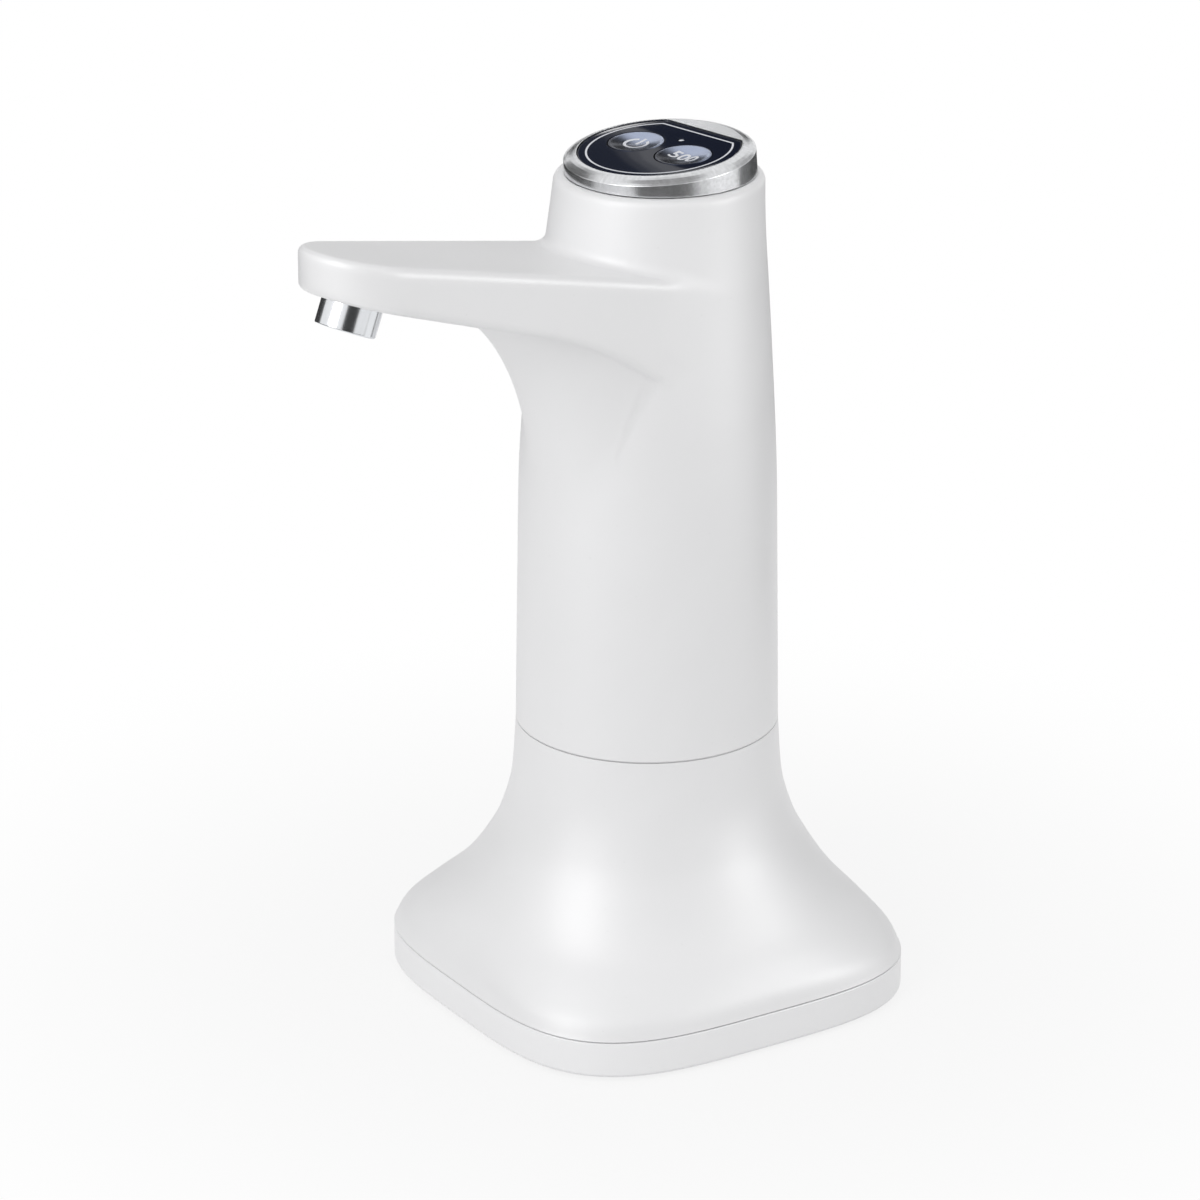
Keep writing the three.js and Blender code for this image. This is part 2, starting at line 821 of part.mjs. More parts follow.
function bottomCap() {
  const skirtTop = capBottom + capSkirtHeight;
  const cup = toSolid(turned([
    [0, capBottom],
    [capRadius, capBottom],
    [capRadius, skirtTop],
    [capRadius - capSkirtWall, skirtTop],
    [capRadius - capSkirtWall, capTop],
    [0, capTop],
  ], columnCount));
  const pocket = rod(headRadius + seatGap, capBottom - overrun, capBottom + headHeight + seatGap);
  const hole = rod(shankRadius + seatGap, capBottom, capTop + overrun, smallCount);
  const tools = capScrewPlaces.flatMap(([x, y]) => [placed(pocket, x, y, 0), placed(hole, x, y, 0)]);
  const middle = rod(inletStemRadius + seatGap, capBottom - overrun, capTop + overrun);
  const keys = keyBlocks(seatGap, capBottom - overrun, seatTop + keyHeight + seatGap);
  return cut(cup, toSolid(middle), ...keys, ...tools);
}

// Water inlet: a flange under the cap, a tail for the jug's hose and a barb for the inner hose.
const barb = hoseBoreRadius - seatGap;
const inletTopEnd = capTop + seatGap + inletNut + inletTopLength;

function inletFitting() {
  const flangeHigh = capBottom - seatGap;
  const flangeLow = flangeHigh - inletFlange;
  const tailLow = flangeLow - inletTailLength;
  const nutTop = capTop + seatGap + inletNut;
  const body = toSolid(turned([
    [0, tailLow],
    [barb, tailLow],
    [inletStemRadius, tailLow + inletTailLength / 4],
    [barb + seatGap, tailLow + inletTailLength / 4],
    [inletStemRadius, tailLow + inletTailLength / 2],
    [barb + seatGap, tailLow + inletTailLength / 2],
    [barb + seatGap, flangeLow],
    [inletFlangeRadius, flangeLow],
    [inletFlangeRadius, flangeHigh],
    [inletStemRadius, flangeHigh],
    [inletStemRadius, nutTop],
    [barb, nutTop],
    [barb, inletTopEnd],
    [0, inletTopEnd],
  ]));
  const bore = rod(inletBoreRadius, tailLow - overrun, inletTopEnd + overrun, smallCount);
  return cut(body, toSolid(bore));
}

function inletNutBody() {
  const low = capTop + seatGap;
  const bore = rod(inletStemRadius + seatGap, low - overrun, low + inletNut + overrun);
  return cut(toSolid(rod(inletNutRadius, low, low + inletNut, hexCount)), toSolid(bore));
}

// The inner hose rises from the inlet's barb and bends over to the pump's barb.
function inletHose() {
  const low = inletTopEnd - hoseGrip;
  const high = pumpBase - pumpBarbLength + hoseGrip;
  const points = [
    new THREE.Vector3(0, 0, low),
    new THREE.Vector3(0, 0, inletTopEnd),
    new THREE.Vector3(0, 0, inletTopEnd + hoseBoreRadius),
    new THREE.Vector3(0, pumpDistance / 2, (inletTopEnd + pumpBase - pumpBarbLength) / 2),
    new THREE.Vector3(0, pumpDistance, pumpBase - pumpBarbLength - hoseBoreRadius),
    new THREE.Vector3(0, pumpDistance, pumpBase - pumpBarbLength),
    new THREE.Vector3(0, pumpDistance, high),
  ];
  return tube(points, hoseRadius, hoseSides, inletHoseSteps, hoseBoreRadius);
}

// Inner frame: a floor on the column's ribs, an upright web, two clips for the cell and one for
// the motor.
function clipRing(radius, y, low) {
  return placed(washer(radius + seatGap, radius + seatGap + clipWall, low, low + clipHeight), 0, y, 0);
}

function innerFrame() {
  const floor = toSolid(rod(frameRadius, frameHeight, frameTop, columnCount));
  const cellEdge = -cellDistance + cellRadius + seatGap;
  const web = toSolid(block(
    [-frameWebWidth / 2, cellEdge, frameTop - frameFloor / 2],
    [frameWebWidth / 2, cellEdge + frameWeb, frameTop + frameWebHeight],
  ));
  const clipLow = frameTop + cellLength / 4;
  const clips = [clipLow, clipLow + cellLength / 3].map((z) => clipRing(cellRadius, -cellDistance, z));
  const motorClipLow = pumpBase + motorBase + motorLength / 3;
  const motorClip = clipRing(motorRadius, pumpDistance, motorClipLow);
  const bridge = toSolid(block(
    [-frameWeb, cellEdge + frameWeb / 2, motorClipLow],
    [frameWeb, pumpDistance - motorRadius, motorClipLow + clipHeight],
  ));
  const solid = joined(floor, web, ...clips, motorClip, bridge);
  const cellRoom = placed(
    rod(cellRadius + seatGap, frameTop, frameTop + cellLength + overrun), 0, -cellDistance, 0,
  );
  const motorRoom = placed(
    rod(motorRadius + seatGap, pumpBase, pumpBase + motorTop + overrun), 0, pumpDistance, 0,
  );
  const barbRoom = placed(
    rod(hoseRadius + seatGap, frameHeight - overrun, frameTop + overrun, smallCount),
    0, pumpDistance, 0,
  );
  const leadSlot = toSolid(block(
    [-frameRadius - overrun, -hoseRadius, frameHeight - overrun],
    [-frameRadius + shelfDepth, hoseRadius, frameTop + overrun],
  ));
  return cut(solid, cellRoom, motorRoom, barbRoom, leadSlot);
}

function batteryCell() {
  const low = frameTop + seatGap;
  const top = low + cellLength;
  return placed(turned([
    [0, low],
    [cellRadius, low],
    [cellRadius, top - cellNub],
    [cellNubRadius, top - cellNub],
    [cellNubRadius, top],
    [0, top],
  ]), 0, -cellDistance, 0);
}

// Pump, in a frame whose Z starts at the cover's underside
const pumpScrewPlaces = circlePlaces(pumpScrewCircle, pumpScrewCount, pumpScrewTurn);

function drilled(solid, low, high) {
  const hole = rod(pumpScrewRadius + seatGap, low - overrun, high + overrun, smallCount);
  return cut(solid, ...pumpScrewPlaces.map(([x, y]) => placed(hole, x, y, 0)));
}

function pumpCoverBody() {
  const disc = toSolid(rod(pumpRadius, 0, pumpCover));
  const inlet = toSolid(rod(barb, -pumpBarbLength, overrun, smallCount));
  const outlet = rod(barb, 0, pumpRadius + pumpBarbLength, smallCount);
  outlet.rotateY(Math.PI / 2);
  outlet.translate(0, 0, pumpCover / 2);
  const pocket = toSolid(rod(pumpPocketRadius, pumpCover - pumpPocketDepth, pumpCover + overrun));
  const inletBore = toSolid(rod(pumpPortRadius, -pumpBarbLength - overrun, pumpCover, smallCount));
  const outletBore = rod(
    pumpPortRadius, pumpPocketRadius / 2, pumpRadius + pumpBarbLength + overrun, smallCount,
  );
  outletBore.rotateY(Math.PI / 2);
  outletBore.translate(0, 0, pumpCover / 2);
  const recess = rod(pumpScrewHeadRadius + seatGap, -overrun, pumpScrewHead + seatGap, smallCount);
  const recesses = pumpScrewPlaces.map(([x, y]) => placed(recess, x, y, 0));
  const whole = joined(disc, inlet, toSolid(outlet));
  return drilled(cut(whole, pocket, inletBore, toSolid(outletBore), ...recesses), 0, pumpCover);
}

function valvePlateBody() {
  const disc = toSolid(rod(pumpRadius, valveBase, valveBase + valvePlate));
  const port = rod(pumpPortRadius, valveBase - overrun, valveBase + valvePlate + overrun, smallCount);
  const places = circlePlaces(valvePortCircle, valvePortCount, 0);
  const ports = places.map(([x, y]) => placed(port, x, y, 0));
  return drilled(cut(disc, ...ports), valveBase, valveBase + valvePlate);
}

function diaphragmBody() {
  const top = diaphragmBase + diaphragm;
  const inner = pumpChamberRadius - diaphragmRib - seatGap;
  const disc = toSolid(turned([
    [0, diaphragmBase],
    [pumpRadius, diaphragmBase],
    [pumpRadius, top],
    [inner, top],
    [inner - diaphragmRib, top + diaphragmRib],
    [inner - 2 * diaphragmRib, top],
    [0, top],
  ]));
  return drilled(disc, diaphragmBase, top);
}

function pumpHousingBody() {
  const top = housingBase + pumpHousing;
  const tubeBody = toSolid(turned([
    [pumpChamberRadius, housingBase],
    [pumpRadius, housingBase],
    [pumpRadius, top],
    [shaftRadius + turnGap, top],
    [shaftRadius + turnGap, top - pumpRoof],
    [pumpChamberRadius, top - pumpRoof],
    [pumpChamberRadius, housingBase],
  ]));
  return drilled(tubeBody, housingBase, pumpScrewLength);
}

function motorCanBody() {
  const inner = motorRadius - motorWall;
  return toSolid(turned([
    [motorBearingRadius, motorBase],
    [motorRadius, motorBase],
    [motorRadius, motorTop],
    [inner, motorTop],
    [inner, motorBase + motorWall],
    [motorBearingRadius, motorBase + motorWall],
    [motorBearingRadius, motorBase],
  ]));
}

function motorEndCapBody() {
  return toSolid(washer(shaftRadius + turnGap, motorRadius, endCapBase, endCapBase + motorEndCap));
}

function motorRotorBody() {
  const low = housingBase + pumpHousing - pumpRoof - 2 * camHeight;
  const armatureLow = motorBase + motorWall + (motorLength - armatureLength) / 2;
  return toSolid(turned([
    [0, low],
    [shaftRadius, low],
    [shaftRadius, armatureLow],
    [armatureRadius, armatureLow],
    [armatureRadius, armatureLow + armatureLength],
    [shaftRadius, armatureLow + armatureLength],
    [shaftRadius, endCapBase + motorEndCap],
    [0, endCapBase + motorEndCap],
  ]));
}

function pumpCamBody() {
  const top = housingBase + pumpHousing - pumpRoof - seatGap * 2;
  const disc = placed(rod(camRadius, top - camHeight, top), camThrow, 0, 0);
  const bore = rod(shaftRadius + seatGap, top - camHeight - overrun, top + overrun, smallCount);
  return cut(disc, toSolid(bore));
}

// The outlet hose climbs the front of the column and runs out along the arm to the elbow's barb.
function outletHose() {
  const start = pumpBase + pumpCover / 2;
  const barbEnd = pumpRadius + pumpBarbLength;
  const laneX = barbEnd + hoseRadius * 2;
  const [laneLow, laneMiddle, laneHigh] = laneShares.map((share) => pumpDistance * share);
  const middle = (x) => (armTop(x) + armCrease(x)) / 2;
  const inward = elbowBarbEnd(elbowBarbLength);
  const grip = elbowBarbEnd(elbowBarbLength - hoseGrip);
  const lead = elbowBarbEnd(elbowBarbLength + hoseGrip);
  const points = [
    new THREE.Vector3(barbEnd - hoseGrip, pumpDistance, start),
    new THREE.Vector3(barbEnd, pumpDistance, start),
    new THREE.Vector3(barbEnd + hoseRadius, pumpDistance, start),
    new THREE.Vector3(laneX, laneLow, start + hoseRadius * 3),
    new THREE.Vector3(laneX, laneMiddle, (start + frameTop + cellLength) / 2),
    new THREE.Vector3(laneX, laneHigh, frameTop + cellLength),
    new THREE.Vector3(laneX + hoseRadius, 0, middle(laneX) - hoseRadius * 2),
    new THREE.Vector3(armTipX / 2, 0, middle(armTipX / 2)),
    new THREE.Vector3(lead.x, 0, lead.z),
    new THREE.Vector3(inward.x, 0, inward.z),
    new THREE.Vector3(grip.x, 0, grip.z),
  ];
  return tube(points, hoseRadius, hoseSides, outletHoseSteps, hoseBoreRadius);
}

// Charging socket
const boardBack = -Math.sqrt(
  (columnRadius - shellWall - 2 * seatGap) ** 2 - (chargeBoardWidth / 2) ** 2,
);
const chargeBoardLow = socketHeight + seatGap;
const chargeBoardTop = chargeBoardLow + chargeBoardThickness;

function chargeBoard() {
  return toSolid(block(
    [boardBack, -chargeBoardWidth / 2, chargeBoardLow],
    [boardBack + chargeBoardDepth, chargeBoardWidth / 2, chargeBoardTop],
  ));
}

function chargeSocket() {
  const low = chargeBoardTop + seatGap;
  const back = -columnRadius + socketRecess;
  const half = socketWidth / 2;
  const body = toSolid(block([back, -half, low], [back + socketDepth, half, low + socketThickness]));
  const mouth = toSolid(block(
    [back - overrun, -half + socketWall, low + socketWall],
    [back + socketDepth - socketWall, half - socketWall, low + socketThickness - socketWall],
  ));
  const tongue = toSolid(block(
    [back + socketRecess, -half / 2, low + socketThickness / 2 - socketWall / 2],
    [back + socketDepth - socketWall / 2, half / 2, low + socketThickness / 2 + socketWall / 2],
  ));
  return joined(cut(body, mouth), tongue);
}

// Nozzle pieces, in the nozzle's own frame
const nozzleBore = nozzleRadius - nozzleWall;

function nozzleBody() {
  const flangeLow = nozzleInside - nozzleFlange;
  return toSolid(turned([
    [nozzleBore, -nozzleLength],
    [nozzleRadius, -nozzleLength],
    [nozzleRadius, flangeLow],
    [nozzleRadius + nozzleFlangeBrim, flangeLow],
    [nozzleRadius + nozzleFlangeBrim, nozzleInside],
    [nozzleBore, nozzleInside],
    [nozzleBore, -nozzleLength],
  ]));
}

function flowInsert() {
  const top = nozzleInside - elbowSpigot - 2 * sealRadius - seatGap * 2;
  const disc = toSolid(rod(nozzleBore - seatGap, top - insertThickness, top));
  const hole = rod(insertHoleRadius, top - insertThickness - overrun, top + overrun, smallCount);
  const places = [[0, 0], ...circlePlaces(insertHoleCircle, insertHoleCount, 0)];
  return cut(disc, ...places.map(([x, y]) => placed(hole, x, y, 0)));
}

function nozzleSeal() {
  const centre = nozzleBore - seatGap - sealRadius;
  const height = nozzleInside - elbowSpigot - sealRadius - seatGap;
  const profile = Array.from({ length: smallCount + 1 }, (_, i) => {
    const turn = (2 * Math.PI * i) / smallCount;
    return [centre + sealRadius * Math.cos(turn), height + sealRadius * Math.sin(turn)];
  });
  return toSolid(turned(profile));
}

// The barb leaves the elbow backwards and a little upwards in the nozzle's frame.
function elbowBarbEnd(length) {
  const rise = radians(elbowBarbRise);
  return fromNozzle(-length * Math.cos(rise), elbowBarbHeight + length * Math.sin(rise));
}

function nozzleElbow() {
  const plateLow = nozzleInside + seatGap;
  const plateTop = plateLow + elbowPlate;
  const spigotLow = nozzleInside - elbowSpigot;
  const spigot = nozzleBore - seatGap;
  const body = toSolid(turned([
    [0, spigotLow],
    [spigot, spigotLow],
    [spigot, plateLow],
    [nozzleRadius, plateLow],
    [nozzleRadius, plateTop],
    [elbowDomeRadius, plateTop],
    [elbowDomeRadius * elbowDomeShare, plateTop + elbowDome],
    [0, plateTop + elbowDome],
  ]));
  const along = (radius, length) => {
    const geometry = rod(radius, 0, length, smallCount);
    geometry.rotateY(-Math.PI / 2 + radians(elbowBarbRise));
    geometry.translate(0, 0, elbowBarbHeight);
    return toSolid(geometry);
  };
  const well = rod(spigot - nozzleWall, spigotLow - overrun, elbowBarbHeight - elbowBoreRadius);
  const riser = rod(elbowBoreRadius, spigotLow, elbowBarbHeight, smallCount);
  const barbBody = along(elbowBarbRadius, elbowBarbLength);
  const barbBore = along(elbowBoreRadius, elbowBarbLength + overrun);
  return cut(joined(body, barbBody), toSolid(well), toSolid(riser), barbBore);
}

// Control top, in a frame on the ring's bevel plane
function roundedD(radius, chord) {
  const turn = Math.PI - Math.acos(chord / radius);
  return new THREE.Shape().absarc(0, 0, radius, -turn, turn);
}

function dPrism(radius, chord, low, high) {
  const settings = { depth: high - low, bevelEnabled: false, curveSegments: roundCount };
  const geometry = new THREE.ExtrudeGeometry(roundedD(radius, chord), settings);
  geometry.translate(0, 0, low);
  return toSolid(geometry);
}

function trimRing() {
  const low = -2 * ringDepth;
  const body = toSolid(turned([
    [0, low],
    [ringRadius, low],
    [ringRadius, 0],
    [ringHoleRadius, ringBevel],
    [0, ringBevel],
  ], columnCount));
  const window = dPrism(ringHoleRadius, panelChord + seatGap, low - overrun, ringBevel + overrun);
  const socket = toSolid(rod(ringHoleRadius, low - overrun, panelBottom, columnCount));
  const under = block(
    [-ringRadius * 2, -ringRadius * 2, -ringRadius * 2],
    [ringRadius * 2, ringRadius * 2, 0],
  );
  under.rotateY(-radians(topTilt));
  under.translate(0, 0, -ringDepth / Math.cos(radians(topTilt)));
  return cut(body, window, socket, toSolid(under));
}

function ringGasket() {
  const low = shoulderHeight - gasketThickness;
  return placed(
    washer(shoulderHoleRadius, shoulderHoleRadius + gasketWidth, low, shoulderHeight, columnCount),
    -ringOffset, 0, 0,
  );
}

const buttonPlaces = [-1, 1].map((side) => (side * buttonSpacing) / 2);

function touchPanel() {
  const plate = dPrism(panelRadius, panelChord, panelBottom, panelTop);
  const hole = rod(buttonRadius + seatGap, panelBottom - overrun, panelTop + overrun);
  const eye = rod(indicatorRadius + seatGap, panelBottom - overrun, panelTop + overrun, smallCount);
  return cut(
    plate,
    ...buttonPlaces.map((y) => placed(hole, 0, y, 0)),
    placed(eye, -indicatorDistance, 0, 0),
  );
}

function buttonBody(y) {
  const flangeLow = flangeTop - buttonFlange;
  const dish = buttonDishShares.map(
    ([girth, sink]) => [buttonRadius * girth, panelTop - buttonDish * sink],
  );
  return placed(turned([
    [0, stemBottom],
    [buttonStemRadius, stemBottom],
    [buttonStemRadius, flangeLow],
    [buttonRadius + buttonFlangeBrim, flangeLow],
    [buttonRadius + buttonFlangeBrim, flangeTop],
    [buttonRadius, flangeTop],
    [buttonRadius, panelTop],
    ...dish,
  ]), 0, y, 0);
}

function panelCarrier() {
  const low = carrierTop - carrierHeight;
  const ring = washer(carrierRadius - carrierWall, carrierRadius, low, carrierTop, columnCount);
  const step = washer(
    boardRadius - carrierWall, carrierRadius - carrierWall / 2, low, boardBottom - seatGap, columnCount,
  );
  return joined(toSolid(ring), toSolid(step));
}

function controlBoard() {
  return toSolid(rod(boardRadius, boardBottom, boardTop, columnCount));
}

function switchBody(y) {
  const low = boardTop + seatGap;
  const half = switchSide / 2;
  const body = toSolid(block([-half, y - half, low], [half, y + half, low + switchHeight]));
  const plunger = rod(switchPlungerRadius, low, low + switchHeight + switchPlunger, smallCount);
  return joined(body, placed(plunger, 0, y, 0));
}

function indicatorLight() {
  const low = boardTop + seatGap;
  return placed(turned([
    [0, low],
    [indicatorRadius * 2, low],
    [indicatorRadius * 2, low + switchHeight / 2],
    [indicatorRadius, low + switchHeight / 2],
    [indicatorRadius, panelTop - seatGap],
    [0, panelTop - seatGap],
  ], smallCount), -indicatorDistance, 0, 0);
}

// Leads up the inside of the column to the control board
const topFrame = new THREE.Group();
topFrame.position.set(-ringOffset, 0, topHeight);
topFrame.rotation.y = radians(topTilt);
topFrame.updateMatrix();

function lead(start, y) {
  const end = new THREE.Vector3(-buttonRadius, y, boardBottom - seatGap - leadRadius / 2);
  end.applyMatrix4(topFrame.matrix);
  const above = start.clone();
  above.z += leadStraight;
  const below = end.clone();
  below.z -= leadStraight;
  const middle = start.clone().lerp(end, 1 / 2);
  return tube([start, above, middle, below, end], leadRadius, leadSides, leadSteps);
}

// Assembly
const pump = new THREE.Group();
const base = new THREE.Group();
const head = new THREE.Group();
const pumpGroup = new THREE.Group();
head.rotation.z = radians(headTurn);
pumpGroup.position.set(0, pumpDistance, pumpBase);
pump.add(base, head);
head.add(pumpGroup, nozzleFrame, topFrame);

addPiece(base, 'foot_pad', footPad(), 'darkRubber');
addPiece(base, 'base_tray', baseTray(), 'bandWhite');
addPiece(base, 'base_shell', baseShell(), 'shellWhite');
baseScrewPlaces.forEach(([x, y], i) => {
  const fastener = addPiece(
    base, `base_screw_${i + 1}`, screw(shankRadius, headRadius, headHeight, baseScrewLength),
    'plainSteel',
  );
  fastener.position.set(x, y, trayRoof);
});

addPiece(head, 'seat_ring', seatRing(), 'darkRubber');
addPiece(head, 'body_shell', bodyShell(), 'shellWhite');
addPiece(head, 'bottom_cap', bottomCap(), 'innerWhite');
capScrewPlaces.forEach(([x, y], i) => {
  const fastener = addPiece(
    head, `cap_screw_${i + 1}`, screw(shankRadius, headRadius, headHeight, capScrewLength),
    'plainSteel',
  );
  fastener.position.set(x, y, capBottom);
});
addPiece(head, 'inlet_fitting', inletFitting(), 'clearSilicone');
addPiece(head, 'inlet_nut', inletNutBody(), 'brass');
addPiece(head, 'inlet_hose', inletHose(), 'clearSilicone');
addPiece(head, 'inner_frame', innerFrame(), 'innerWhite');
addPiece(head, 'battery_cell', batteryCell(), 'cellBlue');
addPiece(pumpGroup, 'pump_cover', pumpCoverBody(), 'blackPlastic');
addPiece(pumpGroup, 'valve_plate', valvePlateBody(), 'clearSilicone');
addPiece(pumpGroup, 'pump_diaphragm', diaphragmBody(), 'darkRubber');
addPiece(pumpGroup, 'pump_housing', pumpHousingBody(), 'blackPlastic');
pumpScrewPlaces.forEach(([x, y], i) => {
  const body = screw(pumpScrewRadius, pumpScrewHeadRadius, pumpScrewHead, pumpScrewLength);
  addPiece(pumpGroup, `pump_screw_${i + 1}`, body, 'plainSteel').position.set(x, y, 0);
});
addPiece(pumpGroup, 'motor_can', motorCanBody(), 'plainSteel');
addPiece(pumpGroup, 'motor_end_cap', motorEndCapBody(), 'blackPlastic');
addPiece(pumpGroup, 'motor_rotor', motorRotorBody(), 'plainSteel');
addPiece(pumpGroup, 'pump_cam', pumpCamBody(), 'innerWhite');
addPiece(head, 'outlet_hose', outletHose(), 'clearSilicone');
addPiece(nozzleFrame, 'nozzle_elbow', nozzleElbow(), 'innerWhite');
addPiece(nozzleFrame, 'nozzle_seal', nozzleSeal(), 'darkRubber');
addPiece(nozzleFrame, 'nozzle', nozzleBody(), 'chrome');
addPiece(nozzleFrame, 'flow_insert', flowInsert(), 'innerWhite');
addPiece(head, 'charge_board', chargeBoard(), 'circuitGreen');
addPiece(head, 'charge_socket', chargeSocket(), 'plainSteel');
addPiece(topFrame, 'trim_ring', trimRing(), 'brushedSteel');
addPiece(head, 'ring_gasket', ringGasket(), 'darkRubber');
addPiece(topFrame, 'touch_panel', touchPanel(), 'navyGlass');
addPiece(topFrame, 'panel_carrier', panelCarrier(), 'blackPlastic');
addPiece(topFrame, 'power_button', buttonBody(buttonPlaces[0]), 'buttonGlass');
addPiece(topFrame, 'volume_button', buttonBody(buttonPlaces[1]), 'buttonGlass');
addPiece(topFrame, 'power_switch', switchBody(buttonPlaces[0]), 'blackPlastic');
addPiece(topFrame, 'volume_switch', switchBody(buttonPlaces[1]), 'blackPlastic');
addPiece(topFrame, 'control_board', controlBoard(), 'circuitGreen');
addPiece(topFrame, 'indicator_light', indicatorLight(), 'lightLens');

const motorLeadStart = new THREE.Vector3(
  -motorRadius / 2, pumpDistance, pumpBase + endCapBase + motorEndCap + seatGap,
);
const cellLeadStart = new THREE.Vector3(0, -cellDistance, frameTop + cellLength + seatGap * 2);
const chargeLeadStart = new THREE.Vector3(
  boardBack + chargeBoardDepth - 2 * leadRadius, 0, chargeBoardTop + seatGap,
);
addPiece(head, 'motor_lead', lead(motorLeadStart, buttonSpacing / 3), 'leadRed');
addPiece(head, 'battery_lead', lead(cellLeadStart, -buttonSpacing / 3), 'leadRed');
addPiece(head, 'charge_lead', lead(chargeLeadStart, 0), 'leadRed');

export default pump;
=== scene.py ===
"""The looks of an electric water jug pump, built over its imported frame."""
import math
from contextlib import contextmanager

import bpy
import numpy as np
from mathutils import Matrix, Vector


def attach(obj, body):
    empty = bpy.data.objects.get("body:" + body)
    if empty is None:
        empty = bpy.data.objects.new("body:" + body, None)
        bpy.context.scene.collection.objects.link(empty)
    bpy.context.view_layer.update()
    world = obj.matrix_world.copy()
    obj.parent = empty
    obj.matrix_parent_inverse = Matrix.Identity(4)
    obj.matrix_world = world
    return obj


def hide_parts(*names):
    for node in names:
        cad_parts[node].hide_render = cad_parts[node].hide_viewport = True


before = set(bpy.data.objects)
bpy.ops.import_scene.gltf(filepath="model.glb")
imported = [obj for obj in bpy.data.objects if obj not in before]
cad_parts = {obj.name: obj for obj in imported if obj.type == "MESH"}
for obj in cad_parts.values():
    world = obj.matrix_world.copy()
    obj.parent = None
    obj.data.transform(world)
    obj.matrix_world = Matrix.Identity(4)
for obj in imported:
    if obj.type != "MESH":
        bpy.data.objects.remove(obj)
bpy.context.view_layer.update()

bl_info = {
    "name": "Water jug pump",
    "version": (1, 0, 0),
    "blender": (4, 5, 0),
    "location": "3D View > Sidebar > Jug pump",
    "description": "Builds the shell, the base, the top and the finishes of a water jug pump",
    "category": "Add Mesh",
}

MM = 0.001


def moved(x, y=0, z=0):
    """A shift in mm."""
    return Matrix.Translation((x * MM, y * MM, z * MM))


def turned(axis, degrees):
    return Matrix.Rotation(math.radians(degrees), 4, axis)


# Sizes are in mm, and angles in degrees where no function turns them into radians
CLEARANCE = 0.3

# Column of the head, in the head's own frame, which is turned on the base
HEAD_TURN = 11.3
SHELL_FOOT = 82.8
SHOULDER = 247.28
NECK_RADIUS = 38.57
SHOULDER_RADIUS = 30
SHOULDER_BACK = 4.28
SHOULDER_BORE = 24.9
REBATE_RADIUS = 26.7
REBATE_DEPTH = 1.1
SHOULDER_CUT = 6
FOOT_CUT = 40
FOOT_SPARE = 10
PORT_LOW = (-44, -4.8, 97.5)
PORT_HIGH = (-25.6, 4.8, 101.3)
PORT_ROUND = 0.9
# Height, girth beyond the shoulder's and lean to the back, all as shares
COLUMN_SHARES = [
    (0, 1, 0), (0.15, 0.957, 0), (0.3, 0.91, 0), (0.45, 0.86, 0), (0.57, 0.75, 0.05),
    (0.66, 0.6, 0.21), (0.75, 0.43, 0.41), (0.83, 0.28, 0.56), (0.89, 0.163, 0.68),
    (0.95, 0.064, 0.84), (1, 0, 1),
]

# Arm
ARM_ROOT_RADIUS = 29.8
ARM_TIP_RADIUS = 18.6
ARM_TIP_X = 105.7
ARM_SPREAD = math.acos((ARM_ROOT_RADIUS - ARM_TIP_RADIUS) / ARM_TIP_X)
ARM_HEIGHT = 221.7
ARM_SLOPE = math.radians(13.1)
ARM_DEPTH = 24.4
ARM_TIP_DEPTH = 14.04
ARM_DROP = 6.4
ARM_DROP_FROM = 60
ARM_DROP_SPAN = 34
ARM_REACH = 130
SWEEP_DROP = 66
SWEEP_FROM = 36.57
SWEEP_SPAN = 38
SWEEP_HALF = 28
SWEEP_POWER = 2.3
FILLET_SPAN = 12

# Base, whose outline goes from a circle's exponent at the neck to a rounded square's
BASE_HALF = 66
ROUND = 2
SQUARENESS = 3.58
SQUARE_POWER = 3.27
SEAM = 82.5
FLARE_FOOT = 11.85
FLARE_WALL = 2.4
# Height and spread of the flare as shares
FLARE_SHARES = [
    (0, 1), (0.063, 0.958), (0.147, 0.829), (0.26, 0.613), (0.401, 0.394), (0.57, 0.176),
    (0.767, 0.042), (1, 0),
]
INSIDE_FOOT = 14
INSIDE_TOP = 69
RIM_EDGE = 0.15
RIM_MIDDLE = 0.04
SOCKET_RIM = 36.5
SOCKET_CHAMFER = 0.3
SOCKET_RADIUS = 36.17
LEDGE_RADIUS = 36.1
LEDGE_BORE = 27
LEDGE_TOP = 72.5
LEDGE_FOOT = 70.1
LEDGE_EDGE = 0.4
SKIRT_INNER = 61.7
SKIRT_OUTER = 63.3
SKIRT_FOOT = 8.55
SKIRT_TOP = 13.5
BAND_FOOT = 0.6
BAND_TOP = 11.55
TRAY_FOOT = 1.8
TRAY_TOP = 3.8
PAD_HALF = 61
PAD_TOP = 1.5
PAD_ROUND = 0.25
SCREW_OFF = 38
# Radius, low and high of what is made round each screw
SCREW_BOSS = (5.2, 2.8, 6.5)
SCREW_POCKET = (3.2, -1, 3.6)
SCREW_BORE = (1.5, 0, 9)
NOTCH_HALF = 7
NOTCH_DEEP = 50
NOTCH_TOP = 11.6
NOTCH_PAST_BAND = 1.45
NOTCH_PAST_BASE = 4

# Top, in the tilted top's own frame
TOP_TILT = 5.1
TOP_HEIGHT = 252.79
RING_RADIUS = 27.4
RING_TOP = 1.8
RING_FLOOR = -0.1
RING_BEVEL = [(27.4, 0), (26.6, 0.62), (25.6, 1.2), (24.6, 1.6), (23.9, 1.8)]
BEVEL_ROUND = 3
PANEL_RADIUS = 23.3
PANEL_CHORD = 17.8
PANEL_TOP = 1.5
PANEL_MIDDLE = 10
BUTTON_OFF = 9.6
BUTTON_RADIUS = 8.1
# Half width of the painted shade that turns the buttons navy towards the spout
BUTTON_PAINTED_SHADE_FADE = 4
DISH_RADIUS = 0.93 * BUTTON_RADIUS
DISH_POWER = 1.2
LIGHT_OFF = -8.7
LIGHT_RADIUS = 0.9
